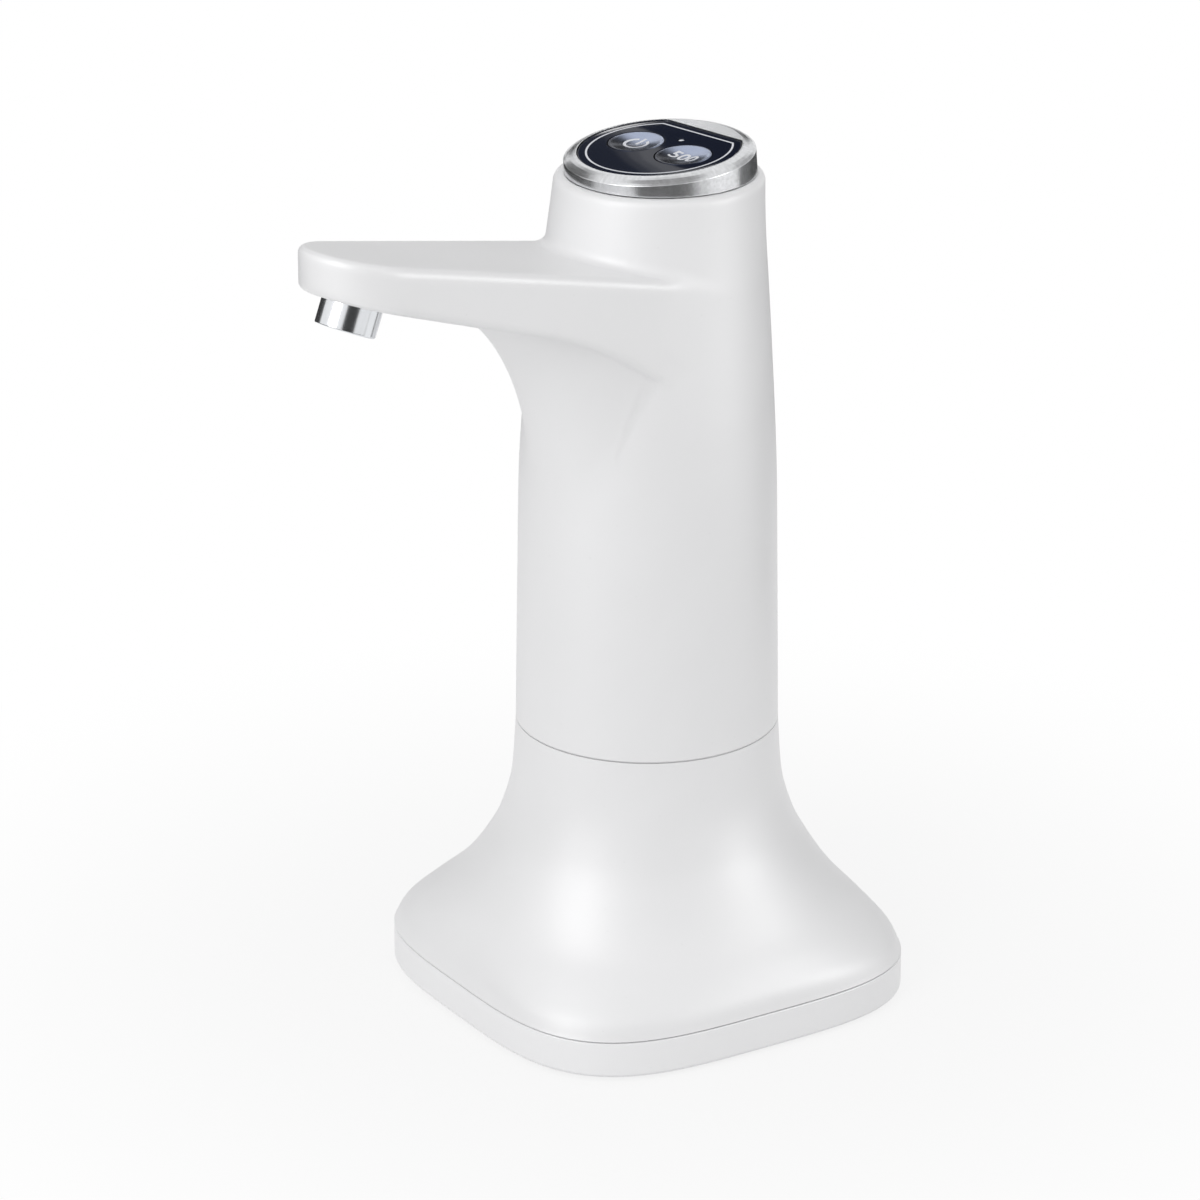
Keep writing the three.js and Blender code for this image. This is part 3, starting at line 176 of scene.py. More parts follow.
# Half the thickness of a mark as it is drawn, and its height above the button's face
MARK_HALF = 0.15
MARK_RISE = 0.05
MARK_GRAIN = 0.09
DIGIT_HEIGHT = 6.4
DIGIT_SWELL = 0.1

# Nozzle, in its own slanting frame
NOZZLE_OFF = 110.9
NOZZLE_HEIGHT = 233.98
NOZZLE_SLANT = -22.8
NOZZLE_BORE = 7.25
NOZZLE_RADIUS = 8.55
NOZZLE_FLANGE = 10.15
NOZZLE_FOOT = -8.2
NOZZLE_TOP = 4.9
FLANGE_FOOT = 3.7
NOZZLE_CUT_FOOT = -3
HOLE_RADIUS = 0.9
HOLE_RING = 4

HEAD = turned("Z", HEAD_TURN)
TOP = HEAD @ moved(-SHOULDER_BACK, 0, TOP_HEIGHT) @ turned("Y", TOP_TILT)
NOZZLE = HEAD @ moved(NOZZLE_OFF, 0, NOZZLE_HEIGHT) @ turned("Y", NOZZLE_SLANT)


def length(name, description, millimetres):
    return bpy.props.FloatProperty(
        name=name, description=description, default=millimetres * MM, min=0,
        unit="LENGTH", subtype="DISTANCE", precision=5,
    )


def share(name, description, value):
    return bpy.props.FloatProperty(
        name=name, description=description, default=value, min=0, max=1, subtype="FACTOR",
    )


def power(name, description, watts):
    return bpy.props.FloatProperty(
        name=name, description=description, default=watts, min=0, unit="POWER",
    )


def linear(code):
    """The linear colour of a hexadecimal one."""
    parts = [int(code[i:i + 2], 16) / 255 for i in (0, 2, 4)]
    return [p / 12.92 if p <= 0.04045 else ((p + 0.055) / 1.055) ** 2.4 for p in parts]


def colour(name, description, code):
    return bpy.props.FloatVectorProperty(
        name=name, description=description, default=linear(code), min=0, max=1, subtype="COLOR",
    )


class JugPumpSizes(bpy.types.PropertyGroup):
    """Sizes that a user may change within the frame."""
    shell_grain: length("Shell grain", "Edge of the faces that the head's skin is made of", 1.0)
    shell_wall: length("Shell wall", "Thickness of the head's wall", 2.2)
    neck_fillet: length("Neck fillet", "Radius where the arm's top meets the neck", 3.2)
    arm_top_round: length("Arm top round", "Radius along the arm's upper edge", 2.6)
    arm_crease_round: length("Arm crease round", "Radius along the arm's lower edge", 1.8)
    shoulder_round: length("Shoulder round", "Radius round the column's top", 2.0)
    band_round: length("Band round", "Radius round the base band's lower edge", 1.4)
    edge_round: length("Edge round", "Radius of the small moulded edges", 0.4)
    seam_gap: length("Seam gap", "Gap between the head and the base", 0.05)
    outline_inset: length("Outline inset", "Distance from the panel's edge to its pale outline", 2.2)
    outline_width: length("Outline width", "Width of the panel's pale outline", 0.55)
    button_dish: length("Button dish", "Depth of the hollow in the buttons", 0.9)


class JugPumpColours(bpy.types.PropertyGroup):
    """Colours of the finishes."""
    shell: colour("Shell", "Moulded white of the head and the flare", "F2F2F3")
    band: colour("Band", "Moulded white of the base's lower band", "F8F8F9")
    inner: colour("Inner parts", "Plain white of the parts inside", "E0E0DC")
    panel: colour("Panel", "Glossy navy of the top", "151C2E")
    button: colour("Buttons", "Bluish grey of the buttons", "A3ADC4")
    mark: colour("Marks", "White of the marks on the buttons", "E6E8EE")
    lens: colour("Light", "Lens of the light", "F0F4FA")
    steel: colour("Trim steel", "Brushed steel of the top's ring", "DADBDD")
    screw: colour("Plain steel", "Steel of the screws, motor and socket", "9A9DA1")
    chrome: colour("Chrome", "Plating of the nozzle", "E2E4E7")
    brass: colour("Brass", "Brass of the inlet's nut", "C4A04C")
    rubber: colour("Rubber", "Dark rubber of the foot and the seals", "2A2B2E")
    silicone: colour("Silicone", "Clear silicone of the hoses", "DDE3E6")
    black: colour("Black plastic", "Black plastic of the pump and the carrier", "1E2023")
    board: colour("Boards", "Green of the circuit boards", "1C5A38")
    cell: colour("Cell", "Blue sleeve of the battery cell", "2B62A8")
    lead: colour("Leads", "Red sleeve of the leads", "A32B24")
    floor: colour("Floor", "Pale floor under the pump", "E4E4E4")


class JugPumpLight(bpy.types.PropertyGroup):
    """Levels of the studio's light."""
    world: share("World", "Level of the even light all round", 0.7)
    key: power("Key lamp", "Power of the soft lamp to the left", 2.8)
    fill: power("Fill lamp", "Power of the soft lamp to the right", 0.9)


def size(name):
    """A size in millimetres."""
    return getattr(bpy.context.scene.jug_pump_sizes, name) / MM


def tint(name):
    return (*getattr(bpy.context.scene.jug_pump_colours, name), 1)


# Curves
def smooth_curve(places, values):
    """A smooth curve through the values that doesn't overshoot them."""
    places, values = np.array(places, float), np.array(values, float)
    spans = np.diff(places)
    slopes = np.diff(values) / spans
    tangents = np.concatenate([slopes[:1], slopes])
    for i in range(1, len(spans)):
        before, after = slopes[i - 1], slopes[i]
        if before * after <= 0:
            tangents[i] = 0
        else:
            near, far = 2 * spans[i] + spans[i - 1], spans[i] + 2 * spans[i - 1]
            tangents[i] = (near + far) / (near / before + far / after)

    def at(place):
        place = np.clip(place, places[0], places[-1])
        i = np.clip(np.searchsorted(places, place, side="right") - 1, 0, len(spans) - 1)
        t = (place - places[i]) / spans[i]
        rest = 1 - t
        return (
            values[i] * (1 + 2 * t) * rest ** 2 + values[i + 1] * t ** 2 * (3 - 2 * t)
            + spans[i] * t * rest * (tangents[i] * rest - tangents[i + 1] * t)
        )

    return at


def rounded(corners, radii, steps=5):
    """An open outline with each corner that has a radius turned into an arc."""
    points = []
    for i, (corner, radius) in enumerate(zip(corners, radii)):
        corner = Vector(corner)
        if not radius or i in (0, len(corners) - 1):
            points.append(corner)
            continue
        back = Vector(corners[i - 1]) - corner
        ahead = Vector(corners[i + 1]) - corner
        half = back.angle(ahead) / 2
        reach = min(radius / math.tan(half), back.length / 2.05, ahead.length / 2.05)
        back, ahead = back.normalized(), ahead.normalized()
        radius = reach * math.tan(half)
        middle = corner + (back + ahead).normalized() * (radius / math.sin(half))
        first, last = corner + back * reach - middle, corner + ahead * reach - middle
        for k in range(steps + 1):
            arm = first.slerp(last, k / steps) if first.angle(last) > 1e-6 else first.normalized()
            points.append(middle + arm * radius)
    return [tuple(p) for p in points]


# Modelling steps
def begin():
    if bpy.context.object and bpy.context.object.mode != "OBJECT":
        bpy.ops.object.mode_set(mode="OBJECT")
    bpy.ops.object.select_all(action="DESELECT")


def take(piece):
    """Selects one piece alone and makes it active."""
    begin()
    piece.select_set(True)
    bpy.context.view_layer.objects.active = piece


def added(name):
    """The piece that was just added, under its name."""
    piece = bpy.context.object
    piece.name = name
    return piece


@contextmanager
def editing():
    """Edit mode with all of the active piece selected, and object mode again at the end."""
    bpy.ops.object.mode_set(mode="EDIT")
    bpy.ops.mesh.select_all(action="SELECT")
    yield
    bpy.ops.object.mode_set(mode="OBJECT")


def close_skin():
    """Closes a skin's doubled seams and turns its faces outwards."""
    bpy.ops.mesh.select_all(action="SELECT")
    bpy.ops.mesh.remove_doubles(threshold=1e-7)
    bpy.ops.mesh.normals_make_consistent(inside=False)


def extrude(move):
    bpy.ops.mesh.extrude_region_move(TRANSFORM_OT_translate={"value": move})


def draw_up(name, count, levels, place, loop=False):
    """Draws a ring up level by level, then sets every point of it to its own place."""
    begin()
    bpy.ops.mesh.primitive_circle_add(vertices=count, radius=1)
    piece = added(name)
    with editing():
        for _ in range(levels - 1):
            extrude((0, 0, 1))
    step = 2 * math.pi / count
    for vertex in piece.data.vertices:
        x, y, z = vertex.co
        turn = round(math.atan2(y, x) / step) * step
        vertex.co = Vector(place(round(z), turn)) * MM
    with editing():
        if not loop:
            bpy.ops.mesh.fill_holes(sides=0)
        close_skin()
    return piece


def draw_outline(name, outline):
    """Draws an open line of points from a plane merged to one point, and stays in edit mode."""
    begin()
    bpy.ops.mesh.primitive_plane_add(size=MM)
    piece = added(name)
    bpy.ops.object.mode_set(mode="EDIT")
    bpy.ops.mesh.select_all(action="SELECT")
    bpy.ops.mesh.merge(type="CENTER")
    points = [Vector(point) * MM for point in outline]
    bpy.ops.transform.translate(value=points[0])
    for last, point in zip(points, points[1:]):
        extrude(point - last)
    bpy.ops.mesh.select_all(action="SELECT")
    return piece


def spin(steps, angle=2 * math.pi):
    bpy.ops.mesh.spin(steps=steps, angle=angle, center=(0, 0, 0), axis=(0, 0, 1))


def turn_up(name, profile, steps=96):
    """Draws a profile of radius and height pairs and spins it about Z."""
    piece = draw_outline(name, [(radius, 0, height) for radius, height in profile])
    spin(steps)
    close_skin()
    bpy.ops.object.mode_set(mode="OBJECT")
    return piece


def rod(name, radius, low, high, steps=48):
    return turn_up(name, [(0, low), (radius, low), (radius, high), (0, high)], steps)


def block(name, low, high, edge=0, segments=3):
    """A box from corner to corner, with its edges bevelled."""
    begin()
    low, high = Vector(low) * MM, Vector(high) * MM
    bpy.ops.mesh.primitive_cube_add(size=1, location=(low + high) / 2)
    piece = added(name)
    piece.scale = high - low
    bpy.ops.object.transform_apply(location=True, rotation=True, scale=True)
    if edge:
        with editing():
            bpy.ops.mesh.bevel(offset=edge * MM, segments=segments, affect="EDGES")
    return piece


def put(piece, place):
    """Moves a piece by a matrix and bakes it into its mesh."""
    take(piece)
    piece.matrix_world = place @ piece.matrix_world
    bpy.ops.object.transform_apply(location=True, rotation=True, scale=True)
    return piece


def apply_modifier(piece, kind, **settings):
    """Gives a piece a modifier with these settings and applies it."""
    take(piece)
    modifier = piece.modifiers.new(kind.capitalize(), kind)
    for key, value in settings.items():
        setattr(modifier, key, value)
    bpy.ops.object.modifier_apply(modifier=modifier.name)
    return piece


def carve(piece, tool, operation="DIFFERENCE"):
    """Cuts a tool out of a piece, or joins it to it, and deletes the tool."""
    apply_modifier(piece, "BOOLEAN", operation=operation, solver="MANIFOLD", object=tool)
    bpy.data.objects.remove(tool)
    return piece


def remesh(piece, grain):
    return apply_modifier(piece, "REMESH", mode="VOXEL", voxel_size=grain * MM)


def relax(piece, turns):
    take(piece)
    with editing():
        bpy.ops.mesh.vertices_smooth(factor=0.5, repeat=turns)


def copy_of(piece, name):
    """A copy of a piece with its own mesh, merged where its faces were loose."""
    begin()
    twin = bpy.data.objects.new(name, piece.data.copy())
    bpy.context.scene.collection.objects.link(twin)
    take(twin)
    with editing():
        bpy.ops.mesh.remove_doubles(threshold=1e-6)
    return twin


def drop_chips(piece):
    """Keeps the largest joined part of a piece, without chips that a cut left loose."""
    name = piece.name
    take(piece)
    with editing():
        bpy.ops.mesh.separate(type="LOOSE")
    *chips, largest = sorted(bpy.context.selected_objects, key=lambda part: len(part.data.vertices))
    for chip in chips:
        bpy.data.objects.remove(chip)
    largest.name = name
    return largest


def finish_piece(piece, body, slot, replaces=(), angle=40, look=None):
    """Smooths a piece, gives it its slot's finish or another look, and lets it ride on its body."""
    take(piece)
    bpy.ops.object.transform_apply(location=True, rotation=True, scale=True)
    bpy.ops.object.shade_smooth_by_angle(angle=math.radians(angle))
    apply_modifier(piece, "WEIGHTED_NORMAL", keep_sharp=True)
    piece.data.materials.clear()
    piece.data.materials.append(finish(look or slot))
    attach(piece, body)
    if replaces:
        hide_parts(*replaces)
    return piece


# Shader nodes
class Nodes:
    """The nodes of one tree, whose inputs are wired to sockets or set to values."""

    def __init__(self, tree):
        self.tree = tree

    def feed(self, node, inputs):
        for key, value in inputs.items():
            if isinstance(value, bpy.types.NodeSocket):
                self.tree.links.new(value, node.inputs[key])
            else:
                node.inputs[key].default_value = value
        return node

    def add(self, kind, label, inputs=(), **settings):
        node = self.tree.nodes.new(kind)
        node.name = node.label = label
        for key, value in settings.items():
            setattr(node, key, value)
        return self.feed(node, dict(inputs))

    def maths(self, label, operation, *values, clamp=False):
        node = self.add("ShaderNodeMath", label, enumerate(values), operation=operation, use_clamp=clamp)
        return node.outputs[0]

    def vectors(self, label, operation, *values, result="Vector"):
        node = self.add("ShaderNodeVectorMath", label, enumerate(values), operation=operation)
        return node.outputs[result]

    def noise(self, label, vector, scale, detail, distortion=0):
        inputs = {"Vector": vector, "Scale": scale, "Detail": detail, "Distortion": distortion}
        return self.add("ShaderNodeTexNoise", label, inputs).outputs["Fac"]

    def blend(self, label, mask, low, high):
        """Mixes two colours by a mask."""
        inputs = {0: mask, 6: low, 7: high}
        return self.add("ShaderNodeMix", label, inputs, data_type="RGBA").outputs[2]

    def spread(self, label, value, low, high, start=0.3, end=0.7, kind="LINEAR"):
        """Spreads the values between start and end over a new range."""
        inputs = {"Value": value, "From Min": start, "From Max": end, "To Min": low, "To Max": high}
        return self.add("ShaderNodeMapRange", label, inputs, interpolation_type=kind).outputs["Result"]

    def shared(self, name, **inputs):
        """Outputs of a shared group that has its own values here."""
        if name not in bpy.data.node_groups:
            GROUP_MAKERS[name](name)
        group = bpy.data.node_groups[name]
        return self.add("ShaderNodeGroup", name, inputs, node_tree=group).outputs

    def place(self):
        """The place on the object, from one node."""
        node = self.tree.nodes.get("Place") or self.add("ShaderNodeTexCoord", "Place")
        return node.outputs["Object"]

    def raise_grain(self, shader, height, strength, distance):
        inputs = {"Strength": strength, "Distance": distance, "Height": height}
        bump = self.add("ShaderNodeBump", "Grain bump", inputs)
        self.feed(shader, {"Normal": bump.outputs["Normal"]})

    def sight(self):
        """One where the camera, a reflection or clear matter looks straight at the surface."""
        path = self.add("ShaderNodeLightPath", "Sight").outputs
        seen = self.maths("Camera or gloss", "MAXIMUM", path["Is Camera Ray"], path["Is Glossy Ray"])
        return self.maths("Or clear", "MAXIMUM", seen, path["Is Transmission Ray"])

    def mix_shaders(self, label, mask, first, second):
        inputs = {0: mask, 1: first.outputs[0], 2: second.outputs[0]}
        return self.add("ShaderNodeMixShader", label, inputs).outputs[0]


def new_group(name, inputs, outputs):
    """A shader node group whose inputs start at these values, with its two ends."""
    tree = bpy.data.node_groups.new(name, "ShaderNodeTree")
    for label, value in inputs.items():
        kind = "NodeSocketFloat" if isinstance(value, float) else "NodeSocketVector"
        tree.interface.new_socket(name=label, in_out="INPUT", socket_type=kind).default_value = value
    for label in outputs:
        tree.interface.new_socket(name=label, in_out="OUTPUT", socket_type="NodeSocketFloat")
    nodes = Nodes(tree)
    return nodes, nodes.add("NodeGroupInput", "In").outputs, nodes.add("NodeGroupOutput", "Out")


def make_edge_wear(name):
    """How far a point lies on a rounded or sharp edge, broken up by noise."""
    nodes, given, out = new_group(name, {"Vector": (0, 0, 0), "Width": 0.0006, "Patches": 90.0}, ["Mask"])
    bevel = nodes.add("ShaderNodeBevel", "Rounded normal", {"Radius": given["Width"]}, samples=4)
    surface = nodes.add("ShaderNodeNewGeometry", "Surface")
    normals = bevel.outputs["Normal"], surface.outputs["Normal"]
    alike = nodes.vectors("How alike", "DOT_PRODUCT", *normals, result="Value")
    unlike = nodes.maths("Unlike", "SUBTRACT", 1, alike)
    edge = nodes.maths("Edge", "MULTIPLY", unlike, 6, clamp=True)
    breaks = nodes.noise("Breaks", given["Vector"], given["Patches"], 3)
    nodes.feed(out, {"Mask": nodes.maths("Broken edge", "MULTIPLY", edge, breaks, clamp=True)})


def make_moulded(name):
    """Fine grain, faint broad flow patches and dust of a moulded surface."""
    inputs = {"Vector": (0, 0, 0), "Grain": 2600.0, "Patches": 14.0}
    nodes, given, out = new_group(name, inputs, ["Height", "Patch", "Specks"])
    vector = given["Vector"]
    dust = nodes.add("ShaderNodeTexVoronoi", "Dust", {"Vector": vector, "Scale": 160}, feature="F1")
    nodes.feed(out, {
        "Height": nodes.noise("Grain", vector, given["Grain"], 2),
        "Patch": nodes.noise("Flow", vector, given["Patches"], 4, 0.6),
        "Specks": nodes.maths("Speck", "LESS_THAN", dust.outputs["Distance"], 0.045),
    })


def make_brushed(name):
    """Fine parallel scratches, drawn out along one axis of the given vector."""
    inputs = {"Vector": (0, 0, 0), "Stretch": (1, 1, 1)}
    nodes, given, out = new_group(name, inputs, ["Scratches", "Broad"])
    drawn = nodes.vectors("Stretch", "MULTIPLY", given["Vector"], given["Stretch"])
    nodes.feed(out, {
        "Scratches": nodes.noise("Fine", drawn, 1, 5), "Broad": nodes.noise("Broad", drawn, 0.12, 2),
    })


GROUP_MAKERS = {
    "Edge wear": make_edge_wear, "Moulded surface": make_moulded, "Brushed metal": make_brushed,
}


# Materials
def shade_of(value, factor):
    return (*[min(1, part * factor) for part in value[:3]], 1)


def shader_of(tree):
    return tree.nodes["Principled BSDF"]


def new_material(name):
    """A material with its nodes and its shader."""
    material = bpy.data.materials.new(name)
    material.use_nodes = True
    nodes = Nodes(material.node_tree)
    return material, nodes, shader_of(nodes.tree)


def plastic(name, base, rough=0.3, grain=0.05, patch=0.03, coat=0, wear=0.35, scale=2600, gloss=0.5):
    """A moulded plastic with fine grain, faint flow marks, rubbed edges and a little dust."""
    material, nodes, shader = new_material(name)
    place = nodes.place()
    surface = nodes.shared("Moulded surface", Vector=place, Grain=scale)
    edges = nodes.shared("Edge wear", Vector=place)["Mask"]
    flow = nodes.spread("Flow mask", surface["Patch"], 0, 1)
    body = nodes.blend("Flow colour", flow, shade_of(base, 1 - patch), shade_of(base, 1 + patch))
    dust = nodes.maths("Dust share", "MULTIPLY", surface["Specks"], 0.25)
    dusted = nodes.blend("Dusted", dust, body, shade_of(base, 0.86))
    rubbed = nodes.maths("Rubbed", "MULTIPLY", edges, wear)
    lighter = (*[part + (1 - part) * 0.35 for part in base[:3]], 1)
    roughness = nodes.spread("Roughness", surface["Patch"], rough * 0.85, rough * 1.15)
    rub = nodes.maths("Rub", "MULTIPLY", rubbed, 0.2)
    nodes.feed(shader, {
        "Base Color": nodes.blend("Rubbed edges", rubbed, dusted, lighter),
        "Roughness": nodes.maths("Rubbed roughness", "ADD", roughness, rub),
        "Specular IOR Level": gloss,
    })
    if coat:
        nodes.feed(shader, {"Coat Weight": coat, "Coat Roughness": 0.04})
    nodes.raise_grain(shader, surface["Height"], grain, 0.0001)
    return material


def metal(name, base, rough=0.3, stretch=(900, 900, 40), scratch=0.12, vary=0.06, wear=0.3):
    """A metal with fine drawn scratches and bright rubbed edges."""
    material, nodes, shader = new_material(name)
    place = nodes.place()
    lines = nodes.shared("Brushed metal", Vector=place, Stretch=stretch)
    edges = nodes.shared("Edge wear", Vector=place)["Mask"]
    streaks = nodes.spread("Streaks", lines["Scratches"], 0, 1)
    body = nodes.blend("Streaked", streaks, shade_of(base, 1 - vary), shade_of(base, 1 + vary))
    rubbed = nodes.maths("Rubbed", "MULTIPLY", edges, wear)
    nodes.feed(shader, {
        "Base Color": nodes.blend("Bright edges", rubbed, body, shade_of(base, 1.25)),
        "Roughness": nodes.spread("Roughness", lines["Broad"], rough * 0.8, rough * 1.2),
        "Metallic": 1,
    })
    nodes.raise_grain(shader, lines["Scratches"], scratch, 0.00005)
    return material


def finish(name):
    """The material of that finish, made once. The frame's own plain one has the name alone."""
    label = f"{name}_finish"
    if label not in bpy.data.materials:
        FINISH_MAKERS[name](label)
    return bpy.data.materials[label]


def make_shell(name):
    return plastic(name, tint("shell"), rough=0.45, patch=0.012, wear=0.3, gloss=0.8)


def make_band(name):
    return plastic(name, tint("band"), rough=0.42, patch=0.01, wear=0.3, gloss=0.8)


def make_inner(name):
    return plastic(name, tint("inner"), rough=0.5, grain=0.25)


def make_panel(name):
    return plastic(name, tint("panel"), rough=0.03, grain=0.002, patch=0.12, wear=0.1, gloss=0.45)


def make_button(name):
    """Bluish metal film that darkens towards the spout's side, as painted shade and reflection of the
    dished face.
    """
    material = plastic(name, tint("button"), rough=0.2, grain=0.004, patch=0.04, wear=0.2)
    nodes = Nodes(material.node_tree)
    shader = shader_of(nodes.tree)
    film = shader.inputs["Base Color"].links[0].from_socket
    middle = nodes.vectors("From the middle of the top", "SUBTRACT", nodes.place(), TOP.translation)
    along = nodes.vectors("To the spout", "DOT_PRODUCT", middle, TOP.col[0].xyz, result="Value")
    fade = BUTTON_PAINTED_SHADE_FADE * MM
    # Painted shade: the film turns navy towards the spout's side, for the dished face's shade and
    # reflection
    painted_shade = nodes.spread("Dark side", along, 0, 1, -fade, fade, "SMOOTHSTEP")
    navy = shade_of(tint("panel"), 1.1)
    nodes.feed(shader, {"Metallic": 0.92, "Base Color": nodes.blend("Dark film", painted_shade, film, navy)})
    return material


def make_mark(name):
    return plastic(name, tint("mark"), rough=0.4, grain=0.1, patch=0.02)


def make_lens(name):
    return plastic(name, tint("lens"), rough=0.15, grain=0.02, patch=0.02, coat=0.4)


def make_black(name):
    return plastic(name, tint("black"), rough=0.5, grain=0.3, patch=0.1)


def make_board(name):
    return plastic(name, tint("board"), rough=0.4, grain=0.2, patch=0.18, coat=0.3, scale=900)


def make_cell(name):
    return plastic(name, tint("cell"), rough=0.32, grain=0.08, patch=0.06, coat=0.2)


def make_lead(name):
    return plastic(name, tint("lead"), rough=0.45, grain=0.15, patch=0.08)


def make_rubber(name):
    return plastic(name, tint("rubber"), rough=0.78, grain=0.5, patch=0.15, wear=0.6, scale=1500)


def make_silicone(name):
    material = plastic(name, tint("silicone"), rough=0.38, grain=0.1)
    nodes = Nodes(material.node_tree)
    nodes.feed(shader_of(nodes.tree), {"Transmission Weight": 0.5, "IOR": 1.41})
    return material


def make_trim(name):
    """Steel turned on a lathe, with rings of fine scratches and lighter and darker fans of painted sheen.
    """
    material, nodes, shader = new_material(name)
    place = nodes.place()
    middle = nodes.vectors("From the middle", "SUBTRACT", place, TOP.translation)
    outward = nodes.vectors("Outward", "NORMALIZE", middle)
    reach = nodes.vectors("Reach", "LENGTH", middle, result="Value")
    height = nodes.add("ShaderNodeSeparateXYZ", "Height", {0: middle}).outputs["Z"]
    rings = nodes.add("ShaderNodeCombineXYZ", "Rings", {
        0: nodes.maths("Fine reach", "MULTIPLY", reach, 7000),
        1: nodes.maths("Fine height", "MULTIPLY", height, 7000),
    })
    scratches = nodes.shared("Brushed metal", Vector=rings.outputs[0])["Scratches"]
    fans = nodes.shared("Brushed metal", Vector=outward, Stretch=(26, 26, 26))
    edges = nodes.shared("Edge wear", Vector=place, Width=0.0003)["Mask"]
    base = tint("steel")
    # Painted sheen: lighter and darker fans round the ring stand in for the radial highlights of turned
    # steel
    painted_sheen_mask = nodes.spread("Fan mask", fans["Scratches"], 0, 1)
    painted_sheen_colour = nodes.blend("Fan colour", painted_sheen_mask, shade_of(base, 0.97), shade_of(base, 1.13))
    streaks = nodes.spread("Streaks", scratches, 0, 0.16)
    body = nodes.blend("Streaked", streaks, painted_sheen_colour, shade_of(base, 0.6))
    rubbed = nodes.maths("Rubbed", "MULTIPLY", edges, 0.5)
    nodes.feed(shader, {
        "Base Color": nodes.blend("Bright edges", rubbed, body, shade_of(base, 1.3)),
        "Roughness": nodes.spread("Roughness", fans["Broad"], 0.2, 0.26),
        "Metallic": 1,
    })
    nodes.raise_grain(shader, scratches, 0.03, 0.00005)
    return material


def make_steel(name):
    return metal(name, tint("screw"), rough=0.36, stretch=(500, 500, 60), scratch=0.2)


def make_chrome(name):
    return metal(name, tint("chrome"), rough=0.17, stretch=(300, 300, 60), scratch=0.01, vary=0.02)


def make_brass(name):
    return metal(name, tint("brass"), rough=0.34, stretch=(400, 400, 80), scratch=0.15)


FINISH_MAKERS = {
    "shell_white": make_shell, "band_white": make_band, "inner_white": make_inner,
    "panel_navy": make_panel, "button_blue": make_button, "mark_white": make_mark,
    "light_lens": make_lens, "black_plastic": make_black, "board_green": make_board,
    "cell_blue": make_cell, "lead_red": make_lead, "dark_rubber": make_rubber,
    "clear_silicone": make_silicone, "trim_steel": make_trim, "plain_steel": make_steel,
    "nozzle_chrome": make_chrome, "inlet_brass": make_brass,
}


class Step:
    """A step of the build, which a user can undo."""
    bl_options = {"REGISTER", "UNDO"}


# The head's outside as a distance
COLUMN_GIRTH = smooth_curve([row[0] for row in COLUMN_SHARES], [row[1] for row in COLUMN_SHARES])
COLUMN_BACK = smooth_curve([row[0] for row in COLUMN_SHARES], [row[2] for row in COLUMN_SHARES])


def column_circle(z):
    """Radius and middle of the column at a height."""
    rise = (z - SHELL_FOOT) / (SHOULDER - SHELL_FOOT)
    radius = SHOULDER_RADIUS + (NECK_RADIUS - SHOULDER_RADIUS) * COLUMN_GIRTH(rise)
    return radius, -SHOULDER_BACK * COLUMN_BACK(rise)


def arm_top(x):
    return ARM_HEIGHT + x * math.tan(ARM_SLOPE)


def arm_crease(x):
    """Height of the edge between the arm's side and its underside."""
    drop = np.maximum(0, (ARM_DROP_FROM - x) / ARM_DROP_SPAN) ** 2
    depth = ARM_DEPTH - x * (ARM_DEPTH - ARM_TIP_DEPTH) / ARM_TIP_X
    return arm_top(x) - depth - ARM_DROP * drop


def arm_underside(x, y, sweep):
    """Height of the arm's underside, with the hollow sweep from the column out to the arm."""
    along = np.clip((np.hypot(x, y) - SWEEP_FROM) / SWEEP_SPAN, 0, 1)
    hollow = (1 - (1 - along) ** SWEEP_POWER) ** (1 / SWEEP_POWER)
    half = (SWEEP_HALF - x * math.cos(ARM_SPREAD)) / math.sin(ARM_SPREAD)
    across = np.minimum(1, np.abs(y) / half)
    return arm_crease(x) - sweep * (1 - hollow) * (1 - across ** 2)


def arm_plan(x, y):
    """Distance from the arm's plan, the hull of a root circle and a tip circle."""
    y = np.abs(y)
    cosine, sine = math.cos(ARM_SPREAD), math.sin(ARM_SPREAD)
    beside = y * -cosine + x * sine
    side = y * sine + x * cosine - ARM_ROOT_RADIUS
    root = np.hypot(x, y) - ARM_ROOT_RADIUS
    tip = np.hypot(x - ARM_TIP_X, y) - ARM_TIP_RADIUS
    return np.where(beside < 0, root, np.where(beside > sine * ARM_TIP_X, tip, side))


def both(first, second, radius):
    """Where two solids overlap, with a rounded edge."""
    inner = np.minimum(-radius, np.maximum(first, second))
    return inner + np.hypot(np.maximum(radius + first, 0), np.maximum(radius + second, 0))


def either(first, second, radius):
    """Two solids together, with a fillet between them."""
    outer = np.maximum(radius, np.minimum(first, second))
    return outer - np.hypot(np.maximum(radius - first, 0), np.maximum(radius - second, 0))


def column_distance(x, y, z, rounds):
    radius, middle = column_circle(z)
    return both(np.hypot(x - middle, y) - radius, z - SHOULDER, rounds["shoulder"])


def arm_distance(x, y, z, rounds, step=0.05):
    over = (z - arm_top(x)) * math.cos(ARM_SLOPE)
    sweep = rounds["sweep"]
    ahead = arm_underside(x + step, y, sweep) - arm_underside(x - step, y, sweep)
    aside = arm_underside(x, y + step, sweep) - arm_underside(x, y - step, sweep)
    under = (arm_underside(x, y, sweep) - z) / np.hypot(1, np.hypot(ahead, aside) / (2 * step))
    upper = both(arm_plan(x, y), over, rounds["top"])
    return both(upper, under, rounds["crease"])


def head_distance(points, rounds):
    """Distance from the head's outside, with its foot a little too low."""
    x, y, z = points.T
    above = np.clip((z - arm_crease(x)) / FILLET_SPAN, 0, 1)
    radius = 1 + (rounds["fillet"] - 1) * above
    whole = either(column_distance(x, y, z, rounds), arm_distance(x, y, z, rounds), radius)
    return both(whole, SHELL_FOOT - FOOT_SPARE - z, 1)


